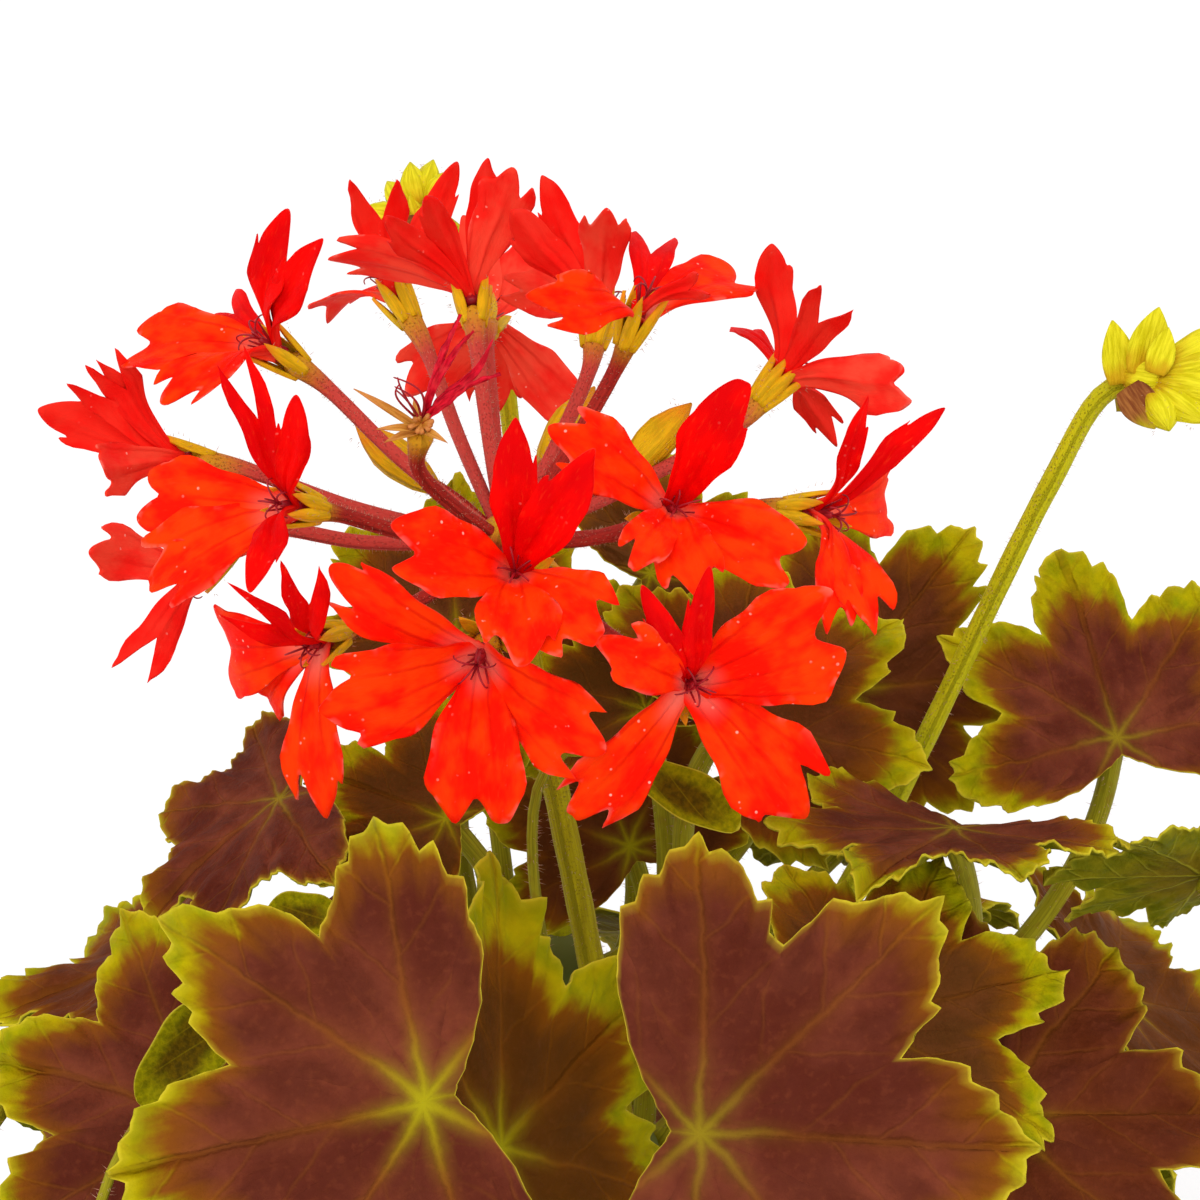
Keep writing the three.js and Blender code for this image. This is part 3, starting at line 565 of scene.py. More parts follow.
# Petals: scarlet to orange red, with darker veins along them and a paler streak at the throat
def petal_material():
    """zone's third number says how crimson a petal is, and look's first how near the end it is."""
    material("petal")
    flat = attribute("flat")
    across, run, seed = parts(flat)
    share, under, kind = parts(attribute("zone"))
    brink = parts(attribute("look"))[0]
    wide = noise(joined(across * 0.2, run * 0.12, seed), 1.6, 3)
    wobble = (noise(joined(across * 0.25, run * 0.3, seed), 1.2, 2) - 0.5) * 0.9
    fan = (across + wobble * 0.5) * calc("DIVIDE", 6.0, run + 3.0)
    lines = apart(fan * 0.8 + seed * 0.13)
    veins = ramp(lines, 0.0, 0.13, 1, 0) * ramp(share, 0.02, 0.2) * ramp(share, 1.0, 0.35)
    fine = noise(joined(across * 2.2, run * 0.5, seed), 1.5, 3)
    scarlet = mottled(wide, (0.98, 0.006, 0.0003), (1.0, 0.042, 0.0008))
    deep = mottled(wide, (0.68, 0.0003, 0.0012), (0.88, 0.0015, 0.0008))
    front = blend(kind, scarlet, deep)
    front = blend(veins * 0.55, front, (0.66, 0.0006, 0.0003))
    front = blend(ramp(fine, 0.55, 0.8) * 0.25, front, (1.0, 0.06, 0.012))
    throat = ramp(share, 0.32, 0.04) * ramp(calc("ABSOLUTE", across), 1.6, 0.1)
    front = blend(throat * (1.0 - kind) * 0.6, front, (1.0, 0.33, 0.25))
    back = mottled(wide, (1.0, 0.02, 0.012), (1.0, 0.07, 0.036))
    back = blend(kind * 0.6, back, (0.9, 0.004, 0.003))
    back = blend(veins * 0.4, back, (0.7, 0.004, 0.003))
    colour = blend(under, front, back)
    dots = cells(joined(across, run, seed * 3.1), 1.0)
    patch = ramp(noise(joined(across * 0.3, run * 0.3, seed + 4.0), 1.0, 2), 0.54, 0.68)
    specks = ramp(dots, 0.18, 0.09) * patch * (1.0 - kind * 0.7)
    colour = blend(specks * 0.7, colour, (1.0, 0.55, 0.45))
    tips = ramp(noise(joined(across * 0.5, run * 0.5, seed + 9.0), 1.0, 2), 0.5, 0.62)
    colour = blend(brink * tips * (1.0 - kind) * 0.2, colour, (1.0, 0.45, 0.36))
    relief = fine * 0.5 - veins * 0.4 + wide * 0.3
    return finish_of(colour, ramp(fine, 0.2, 0.8, 0.55, 0.66), relief, 0.00018, 0.03)


def faded_material():
    material("petal_faded")
    flat = attribute("flat")
    across, run, seed = parts(flat)
    fine = noise(joined(across * 2.4, run * 0.4, seed), 1.6, 4)
    broad = noise(joined(across * 0.4, run * 0.3, seed), 1.4, 2)
    colour = mottled(fine, (0.46, 0.002, 0.014), (0.78, 0.008, 0.03))
    colour = blend(ramp(broad, 0.5, 0.7) * 0.4, colour, (0.85, 0.06, 0.06))
    return finish_of(colour, ramp(fine, 0.2, 0.8, 0.45, 0.62), fine, 0.0004, 0.1)


def style_material():
    material("style")
    fine = noise(place(), 900, 2)
    colour = mottled(fine, (0.24, 0.004, 0.01), (0.42, 0.01, 0.02), 0.3, 0.7)
    return finish_of(colour, ramp(fine, 0.3, 0.7, 0.4, 0.55), fine, 0.0001, 0.3)


def pedicel_material(name, low, high, tip, pale):
    material(name)
    flat = attribute("flat")
    across, run, seed = parts(flat)
    share = parts(attribute("zone"))[0]
    pink = parts(attribute("look"))[0]
    streak = noise(joined(across * 1.6, run * 0.1, seed), 1.5, 3)
    grain = noise(flat, 2.4, 3)
    colour = mottled(streak, low, high, 0.3, 0.7)
    colour = blend(pink, colour, (0.64, 0.075, 0.056))
    colour = blend(ramp(share + (streak - 0.5) * 0.15, *tip), colour, pale)
    dots = ramp(cells(flat, 2.6), 0.32, 0.12)
    colour = blend(dots * 0.1, colour, (0.55, 0.2, 0.12))
    return finish_of(colour, ramp(grain, 0.2, 0.8, 0.48, 0.64), grain + dots, 0.00014, 0.08)


def sepal_material(name, low, high, blush, where=(0.45, 1.0), ribs=0.35):
    material(name)
    flat = attribute("flat")
    across, run, seed = parts(flat)
    share = parts(attribute("zone"))[0]
    streak = noise(joined(across * 2.0, run * 0.25, seed), 1.5, 3)
    broad = noise(joined(across * 0.3, run * 0.2, seed), 1.5, 2)
    lines = apart(across * 0.9 + 0.5)
    colour = mottled(streak, low, high)
    colour = blend(ramp(share + (broad - 0.5) * 0.8, *where) * 0.75, colour, blush)
    colour = blend(ramp(lines, 0.1, 0.02) * ribs, colour, low)
    return finish_of(colour, ramp(streak, 0.2, 0.8, 0.48, 0.64), streak, 0.0002, 0.08)


def hair_material():
    material("hair")
    fine = noise(place(), 500, 2)
    colour = mottled(fine, (0.5, 0.2, 0.12), (0.66, 0.4, 0.25), 0.3, 0.7)
    return finish_of(colour, ramp(fine, 0.3, 0.7, 0.45, 0.6), None, 0, 0.3)


def clay_material():
    material("terracotta")
    spot = place()
    x, y, z = parts(spot)
    fine = noise(spot, 900, 5)
    broad = noise(spot, 22, 4)
    turned = noise(joined(x * 0.2, y * 0.2, z * 6.0), 120, 3)
    bloom = noise(joined(x, y, z * 0.6), 45, 5, 0.62)
    colour = mottled(broad, (0.38, 0.115, 0.05), (0.5, 0.17, 0.08))
    colour = blend(ramp(fine, 0.4, 0.7) * 0.35, colour, (0.3, 0.08, 0.035))
    salt = ramp(bloom + ramp(z, 0.05, 0.0) * 0.1 + ramp(z, 0.074, 0.08) * 0.05, 0.56, 0.72)
    colour = blend(salt * 0.3, colour, (0.66, 0.5, 0.4))
    colour = blend(ramp(cells(spot, 420), 0.16, 0.05) * 0.4, colour, (0.16, 0.06, 0.035))
    damp = ramp(z + (broad - 0.5) * 0.03, 0.022, 0.002)
    colour = blend(damp * 0.45, colour, (0.2, 0.09, 0.045))
    relief = fine * 0.6 + turned * 0.5 + broad * 0.3
    return finish_of(colour, ramp(bloom, 0.3, 0.7, 0.72, 0.92), relief, 0.0005, 0.2)


def soil_material():
    material("compost")
    spot = place()
    fine = noise(spot, 700, 5)
    broad = noise(spot, 90, 4)
    colour = mottled(fine, (0.016, 0.009, 0.005), (0.07, 0.04, 0.022))
    colour = blend(ramp(broad, 0.5, 0.7) * 0.5, colour, (0.11, 0.066, 0.036))
    return finish_of(colour, ramp(fine, 0.2, 0.8, 0.8, 0.97), fine + broad, 0.0016, 0.12)


def grit_material():
    material("perlite")
    fine = noise(place(), 1500, 3)
    colour = mottled(fine, (0.62, 0.6, 0.55), (0.86, 0.85, 0.8))
    return finish_of(colour, ramp(fine, 0.3, 0.7, 0.7, 0.9), fine, 0.0003, 0.2)


LEAF, PLAIN_LEAF = leaf_material("leaf_blade", 1.0), leaf_material("leaf_blade_plain", 0.2)
FOLD, PETIOLE, STEM = fold_material(), petiole_material(), stem_material()
PETAL, FADED_PETAL, STYLE = petal_material(), faded_material(), style_material()
PEDICEL = pedicel_material(
    "flower_stalk_red", (0.26, 0.009, 0.006), (0.42, 0.024, 0.014), (0.78, 1.0), (0.62, 0.33, 0.012)
)
PEDUNCLE = pedicel_material(
    "flower_stalk_green", (0.32, 0.24, 0.001), (0.46, 0.37, 0.003), (0.9, 1.3), (0.3, 0.2, 0.01)
)
PALE_PEDUNCLE = pedicel_material(
    "flower_stalk_pale", (0.46, 0.42, 0.003), (0.6, 0.54, 0.008), (0.9, 1.3), (0.5, 0.4, 0.02)
)
SEPAL = sepal_material(
    "sepal", (0.58, 0.36, 0.004), (0.82, 0.48, 0.006), (0.85, 0.25, 0.01), (0.5, 1.0), 0.2
)
TAN = sepal_material("sepal_dry", (0.5, 0.19, 0.02), (0.76, 0.38, 0.07), (0.7, 0.27, 0.08))
BUD = sepal_material(
    "bud", (0.62, 0.54, 0.004), (0.84, 0.74, 0.02), (0.55, 0.25, 0.004), (0.42, 0.0), 0.15
)
BRACT = sepal_material(
    "bract", (0.2, 0.05, 0.012), (0.36, 0.13, 0.03), (0.5, 0.42, 0.004), (0.5, 1.0), 0.2
)
HAIR, CLAY, SOIL, GRIT = hair_material(), clay_material(), soil_material(), grit_material()

# Stems: places above the soil's level, with a root end 30 below it
SOIL_LEVEL = 84.0
ROOT_DEPTH = 30
STEM_RADIUS = 4.6
STEM_STEPS = 400
STEM_SCALES = 9
STEMS = {
    "front": [(-8, -14, 0), (-7, -17, 30), (-5, -22, 62)],
    "centre": [(8, 6, 0), (6, 6, 26), (3, 2, 50)],
    "right": [(24, 4, 0), (25, 7, 22), (20, 12, 46)],
    "back": [(-6, 26, 0), (-6, 31, 28), (-5, 36, 52)],
    "left": [(-28, 2, 0), (-31, 2, 26), (-34, 0, 52)],
}
stem_lines = {}
for key, places in STEMS.items():
    rooted = [(*places[0][:2], -ROOT_DEPTH), *places]
    curve = catmull(np.array(rooted, float) + [0, 0, SOIL_LEVEL], 60)
    stem_lines[key] = resample(curve, STEM_STEPS + 1)


def stem_radius(t):
    return STEM_RADIUS * (1.1 - 0.3 * t) * (1 + 0.09 * np.cos(t * 30))


def on_stem(key, share):
    return stem_lines[key][round(share * STEM_STEPS)]


def build_stems():
    """Fleshy stems with leaf scars, and old papery scales on their upper part."""
    for order, (key, line) in enumerate(stem_lines.items()):
        rng = np.random.default_rng(60 + order)
        form = Form()
        t = np.linspace(0, 1, 100)
        radii = stem_radius(t) * (1 + 0.02 * np.sin(t * 140 + order))
        tube(form, resample(line, 100), radii, 24, 0, order * 3.0, ridge=0.02)
        zone = np.array(form.zone[-1])
        scar = np.clip(np.cos(zone[:, 0] * 30) * 6 - 5, 0, 1)
        zone[:, 1] = scar * 0.8
        form.zone[-1] = zone
        for k in range(STEM_SCALES):
            share = 0.35 + 0.07 * k
            centre = on_stem(key, share)
            turn = k * 2.4 + order
            out = np.array([math.cos(turn), math.sin(turn), 0.0])
            root = centre + out * stem_radius(share) * 0.9
            bend = root + out * 1.6 + np.array([0, 0, 1.6])
            tip = bend + out * 0.2 + np.array([0, 0, 1.9 + rng.uniform(0, 1.2)])
            scale = bezier([root, bend, tip], 8)
            width = np.array([1.3, 1.35, 1.2, 1.0, 0.75, 0.5, 0.28, 0.1])
            tube(form, scale, width, 8, 0, k, pointed=True)
        form.make(f"stem_{key}_look", [STEM], "stem", f"stem_{key}")


# Leaves. A lobe's edge: degrees from its middle and reach, where 1 is the leaf's radius
LOBE_EDGE = [
    (0, 1.0), (2.4, 0.95), (5.4, 0.935), (7.9, 0.875), (10.9, 0.875),
    (13.4, 0.8), (16.6, 0.79), (19.6, 0.7), (23.25, 0.6),
]
BASE_EDGE = [
    (95.8, 0.815), (99, 0.83), (102.2, 0.765), (105.6, 0.775), (109, 0.69), (113, 0.675),
    (117, 0.575), (122, 0.5), (129, 0.37), (138, 0.25), (148, 0.17), (164, 0.11), (180, 0.09),
]
STEADY = (0, LOBE_STEP / 2)  # a lobe's tip and the notch beside it, which don't wander
PETIOLE_RADIUS, YOUNG_RADIUS = 1.25, 0.75
JOINT_GAP = 0.3
RING_SHARES = [0.12, 0.25, 0.38, 0.5, 0.61, 0.71, 0.8, 0.88, 0.945, 0.985, 1.0]


def half_edge(rng):
    """One side of a leaf's edge, from the middle lobe's tip to the notch at the stalk."""
    rows = []
    for centre, size in ((0, 1.0), (LOBE_STEP, 0.97), (2 * LOBE_STEP, 0.86)):
        for side in (-1, 1):
            if (side < 0 and centre == 0) or (side > 0 and centre > LOBE_STEP):
                continue
            for off, reach in LOBE_EDGE:
                steady = off in STEADY
                if side < 0 and steady:
                    continue
                angle = centre + side * off + (0 if steady else rng.normal(0, 0.45))
                rows.append((angle, size * reach * (1 + rng.normal(0, 0.008 if steady else 0.02))))
        if centre == 2 * LOBE_STEP:
            rows.append((centre, size))
    rows += [(a, r * (1 + rng.normal(0, 0.02))) for a, r in BASE_EDGE]
    return sorted(rows)


def leaf_edge(rng):
    """Angles in degrees and reaches of the toothed edge, all the way round."""
    right, left = half_edge(rng), half_edge(rng)
    rows = right[:-1] + [(180.0, 0.09)] + [(360 - a, r) for a, r in reversed(left[1:-1])]
    rows.append((360.0, right[0][1]))
    angles, reaches = [], []
    for (a0, r0), (a1, r1) in zip(rows, rows[1:]):
        for s in (0, 1 / 3, 2 / 3):
            eased = 0.45 * s + 0.55 * (1 - math.cos(math.pi * s)) / 2
            angles.append(a0 + (a1 - a0) * s)
            reaches.append(r0 + (r1 - r0) * eased)
    return np.array(angles), np.array(reaches)


def leaf_rise(angle, reach, form):
    """How far the blade's main form stands above its plane."""
    cup, wave, phase, fold = form
    turn = angle * RAD
    return (
        cup * reach**2
        - 0.045 * np.cos(2 * math.pi * angle / LOBE_STEP) * reach**2
        - 0.07 * reach**4
        + wave * reach**2 * np.sin(3 * turn + phase)
        + fold * (reach * np.sin(turn)) ** 2
    )


# Leaves with hardly any star of veins
PLAIN = {"leaf_left_side", "leaf_right_flat", "leaf_right_edge", "leaf_front_right", "leaf_low_right"}


def build_leaf(row, index):
    """A blade and its stalk. Quilting and ruffles come on top of the blade's main form."""
    rng = np.random.default_rng(500 + index)
    at, normal, midrib, radius = row["at"], row["normal"], row["midrib"], row["radius"]
    side = np.cross(normal, midrib)
    angles, edge = leaf_edge(rng)
    if row["name"] == "leaf_left_side":
        edge = np.convolve(np.concatenate([edge[-7:], edge, edge[:7]]), np.full(15, 1 / 15), "valid")
    bend = (0.1 + 0.06 * math.sin(index * 1.7), 0.05, index * 2.4, 0.05 * math.cos(index * 1.1))
    bend = row.get("bend", bend)
    n = len(angles)
    turn = angles * RAD
    shares = np.array(RING_SHARES)[:, None]
    reach = shares * edge[None]
    rise = leaf_rise(angles[None], reach, bend)
    quilt = 0.012 * np.sin(reach * 24 + 0.6 * np.sin(turn * 3)[None]) * reach
    quilt *= np.abs(np.sin(math.pi * angles / LOBE_STEP))[None]
    quilt -= 0.026 * np.cos(2 * math.pi * angles / LOBE_STEP)[None] * reach**2
    quilt += 0.022 * reach**2 * np.sin(5 * turn + index)[None]
    ruffle = 0.016 * shares**5 * np.sin(angles * 0.55 + index)[None]
    ruffle = ruffle + 0.01 * shares**8 * np.sin(angles * 1.4 + 2 * index)[None]
    rise = rise + quilt + ruffle * (edge[None] > 0.3)
    middle = (
        at
        + midrib * (radius * reach * np.cos(turn))[..., None]
        + side * (radius * reach * np.sin(turn))[..., None]
        + normal * (radius * rise)[..., None]
    ).reshape(-1, 3)
    middle = np.vstack([at[None], middle])
    flat = np.stack([reach * np.cos(turn), reach * np.sin(turn), reach * 0 + index * 3.7], axis=-1)
    flat = np.vstack([[[0, 0, index * 3.7]], flat.reshape(-1, 3)])
    rim = np.broadcast_to(shares, reach.shape) * np.clip(0.55 + 0.45 * edge / 0.9, 0, 1.02)[None]
    # where the painted rim highlight lies: the last two hundredths of the reach
    line = np.broadcast_to(np.clip((shares - 0.98) / 0.02, 0, 1), reach.shape)
    zone = np.stack([rim, rim * 0, line], axis=-1).reshape(-1, 3)
    zone = np.vstack([[[0, 0, 0]], zone])
    count = len(RING_SHARES)
    k = np.arange(n)
    tris = np.stack([np.zeros(n, int), 1 + k, 1 + (k + 1) % n], axis=1)
    quads = flipped(grid(count, n, True)) + 1
    loop = 1 + (count - 1) * n + k
    thick = np.concatenate([[0.85], np.repeat(0.7 - 0.42 * np.array(RING_SHARES) ** 4, n)])
    form = Form()
    facing = np.broadcast_to(normal, middle.shape)
    sheet(form, middle, facing, thick, quads, tris, loop, 0, flat, zone, row["look"])
    start, leave = row["start"], row["leave"]
    run = np.linalg.norm(start - at)
    arrive = row.get("below")
    if arrive is None:
        arrive = unit(-0.75 * normal - 0.5 * midrib)
    path = bezier([start, start + leave * run * 0.35, at + arrive * run * 0.4, at - normal * 0.95])
    stalk = resample(path, 40)
    t = np.linspace(0, 1, 40)
    radii = row.get("stalk", PETIOLE_RADIUS) * (1.15 - 0.25 * t)
    radii = radii * (1 + 0.2 * np.clip((t - 0.93) / 0.07, 0, 1) ** 2)
    radii = radii * (1 + 0.55 * np.clip((0.06 - t) / 0.06, 0, 1))
    tube(form, stalk, radii, 10, 1, index * 1.3)
    hairs(form, stalk, radii, int(run * 5), 0.75, rng, 2, 0.035)
    blade = PLAIN_LEAF if row["name"] in PLAIN else LEAF
    form.make(f"{row['name']}_look", [blade, PETIOLE, HAIR], "leaf", *row["nodes"])


def budding(key, share, towards):
    """Where a leaf stalk leaves its stem, and which way."""
    centre = on_stem(key, share)
    out = (towards - centre) * [1, 1, 0]
    if np.linalg.norm(out) < 1:
        out = np.array([0, -1.0, 0])
    out = unit(out)
    off = stem_radius(share) * 0.97 + PETIOLE_RADIUS * 0.75 + JOINT_GAP
    return {"start": centre + out * off, "leave": unit([out[0] * 0.75, out[1] * 0.75, 0.66])}


# Place, the way it looks, the midrib's turn, radius, stem, height on it, how the stalk arrives,
# and the looks: a wider margin, warmer brown, greener blade
FRONT_LEAVES = [
    ("front_left", (-15.6, -45, 33), (-6, 8), 193, 30, "front", 0.98, (0.1, -0.9, -0.35), (-0.02, 0, 0)),
    ("front_left_behind", (-9.8, -52.5, 13), (54, 15), 27, 31, "front", 0.8, None, (0.17, 0.9, 0.35)),
    ("front_right", (9, -47.1, 37), (4, 6), -3, 31, "centre", 0.9, (0.15, -0.85, -0.35), (-0.08, 0, 0)),
    ("low_right", (25.5, -40.5, 12), (10, 30), 20, 22, "centre", 0.86, None, (0.06, 0.3, 0.35)),
    ("right_corner", (37.9, -50, 9), (20, 34), 8, 28, "right", 0.7, None, (-0.1, 0.45, 0)),
    ("right_flat", (36, -23.5, -5.2), (-4, 76), 262, 20.6, "right", 0.95, None, (0.03, 0, 0.05)),
    ("right_turned", (61.5, -27.8, -6), (10, 118), 165, 17, "right", 0.82, None, (0.05, 0, 0.1)),
    ("right_edge", (56.5, -15, -30), (8, 20), 100, 23, "right", 0.98, None, (0.1, 0, 0)),
    ("back_right", (27.7, -10, -41), (4, 16), 52, 24, "back", 0.95, None, (0.05, 0.35, 0.15)),
    ("mid_right", (13.8, -12.8, -21), (6, 28), 36, 23, "centre", 0.97, None, (0.05, 0.4, 0.2)),
    ("left_side", (-33.3, -21, -14.6), (-46, 44), 217, 20, "left", 0.975, None, (-0.1, 0, 0)),
    ("left_corner", (-38.5, -50, 10), (-18, 26), 160, 25, "left", 0.72, None, (0.02, 0, 0)),
    ("behind_umbel", (-16, -4, -35), (0, 20), 92, 19, "back", 0.98, None, (0.05, 0.3, 0.3)),
    ("behind_umbel_right", (6, 3, -47), (4, 24), 34, 17, "back", 0.86, None, (0.05, 0.2, 0.4)),
    ("under_umbel_right", (5, -12, -26), (0, 30), 110, 18, "centre", 0.8, None, (0.1, 0.2, 0.5)),
    ("under_umbel_left", (-16, -23, -15), (-10, 34), 150, 18, "left", 0.88, None, (0.12, 0.3, 0.4)),
    ("under_umbel", (3.5, -28.5, -49), (0, 8), 114, 20, "back", 0.7, None, (0.05, 0.4, 0.2)),
]
# Small leaves, too slight for the solids. Unfolding: place, look, midrib, radius, stem, height, bend
YOUNG_LOOK = (0.16, 0.5, 0.55)
YOUNG_LEAVES = [
    ("young_edge", (-59.5, -51, -2), (152, 8), 80, 7.5, "left", 0.62, (0.3, 0.06, 1, 0.1)),
]
# Still curled: foot, tip, the way it faces, width, cup, stem, height
FOLDS = [
    ("left", (-42.6, -47.8, 20), (-35.2, -37, 21), (0.25, 0.1, 1), 7.6, 2.4, "left", 0.5),
    ("behind", (-25.2, -30.4, 11), (-32.4, -31.2, 11), (0, 0.4, 1), 5.4, 1.3, "left", 0.8),
    ("middle", (2.4, -16, 8), (13.6, -22.3, 8), (0.1, 0.4, 1), 5.4, 1.7, "centre", 0.9),
]
# Rings of older leaves: how many, their distance out, height and lift, first turn, arc, radius and
# the height on the stem
RINGS = [
    (7, 64, 118, 34, 18, 360, 28, 0.45),
    (5, 56, 146, 44, 100, 190, 27, 0.7),
    (3, 47, 137, 42, -50, 100, 24, 0.55),
]


def front_leaf(name, at, look, mid, radius, stem, height, below, finish):
    """A leaf placed where the photo shows it, from its row."""
    at = seen(*at)
    yaw, pitch = look[0] * RAD, look[1] * RAD
    facing = (math.sin(yaw) * math.cos(pitch), math.sin(pitch), math.cos(yaw) * math.cos(pitch))
    normal = unit(along(*facing))
    across = along(math.cos(mid * RAD), math.sin(mid * RAD), 0)
    midrib = unit(across - normal * np.dot(across, normal))
    row = {"name": f"leaf_{name}", "at": at, "normal": normal, "midrib": midrib, "radius": radius}
    row["nodes"] = [row["name"]]
    below = None if below is None else along(*below)
    return {**row, **budding(stem, height, at), "below": below, "look": finish}


def young_leaf(name, at, look, mid, radius, stem, height, bend):
    row = front_leaf(name, at, look, mid, radius, stem, height, None, YOUNG_LOOK)
    return {**row, "nodes": [], "bend": bend, "stalk": YOUNG_RADIUS}


def build_fold(name, foot, tip, facing, width, cup, stem, height, index):
    """A smooth young leaf, cupped along its length, on its own stalk."""
    rng = np.random.default_rng(950 + index)
    foot, tip, face = seen(*foot), seen(*tip), along(*facing)
    length = np.linalg.norm(tip - foot)
    ahead = (tip - foot) / length
    face = unit(face - ahead * np.dot(face, ahead))
    rows, columns = 26, 17
    t, u = np.linspace(0, 1, rows)[:, None], np.linspace(-1, 1, columns)[None]
    outline = np.sqrt(np.clip(1 - (2 * t - 1) ** 2, 0.004, 1)) * (0.84 + 0.16 * t)
    share = u * outline * (1 + 0.06 * np.sin(t * 10 + index)) * width / 2
    lift = u**2 * outline * (cup + 0.3 * np.sin(8 * t + index))
    across = np.cross(face, ahead)
    middle = foot + ahead * (t * length)[..., None] + across * share[..., None] + face * lift[..., None]
    flat = np.stack([share, share * 0 + t * length, share * 0 + index * 5], axis=-1)
    depth = (0.5 - 0.25 * u**2) * np.ones((rows, 1))
    edge = np.maximum(np.abs(u), np.abs(2 * t - 1))
    middle = middle.reshape(-1, 3)
    form = Form()
    faces = np.broadcast_to(face, middle.shape)
    strip(form, middle, faces, rows, columns, depth.ravel(), 0, flat, t.ravel(), edge.ravel())
    bud = budding(stem, height, foot)
    run = np.linalg.norm(foot - bud["start"])
    rise = bud["start"] + bud["leave"] * run * 0.35
    path = bezier([bud["start"], rise, foot - ahead * run * 0.3, foot])
    stalk = resample(path, 30)
    tube(form, stalk, np.linspace(0.85, 0.5, 30), 10, 1, index)
    hairs(form, stalk, np.full(30, 0.6), int(run * 4), 0.7, rng, 2, 0.035)
    form.make(f"leaf_fold_{name}_look", [FOLD, PETIOLE, HAIR], "leaf")


def turned(v, axis, angle):
    return (
        v * math.cos(angle)
        + np.cross(axis, v) * math.sin(angle)
        + axis * np.dot(axis, v) * (1 - math.cos(angle))
    )


def ring_leaves():
    """The older leaves round the rim and the back, hanging out over the pot."""
    rows = []
    for level, (count, radius, z, rise, start, arc, reach, share) in enumerate(RINGS):
        for i in range(count):
            steps = count if arc == 360 else count - 1
            azimuth = (start + arc * i / steps) * RAD
            out = np.array([math.sin(azimuth), -math.cos(azimuth), 0])
            wobble = math.sin(i * 2.4 + level)
            at = out * (radius + 4 * wobble)
            at[2] = z + 7 * math.cos(i * 3.1 + level)
            lift = (rise + 8 * wobble) * RAD
            normal = out * math.cos(lift) + np.array([0, 0, math.sin(lift)])
            down = out * math.sin(lift) - np.array([0, 0, math.cos(lift)])
            midrib = turned(down, normal, 0.35 * wobble)
            gaps = {
                key: np.linalg.norm((on_stem(key, share) - at)[:2]) for key in stem_lines
            }
            stem = min(gaps, key=gaps.get)
            rows.append(
                {
                    "name": f"leaf_ring_{level + 1}_{i + 1}",
                    "nodes": [f"leaf_ring_{level + 1}_{i + 1}"],
                    "at": at, "normal": normal, "midrib": midrib, "radius": reach,
                    "look": (0.03 * wobble, 0.35 + 0.3 * wobble, 0.15 + 0.15 * math.cos(i + level)),
                    **budding(stem, share, at),
                }
            )
    return rows


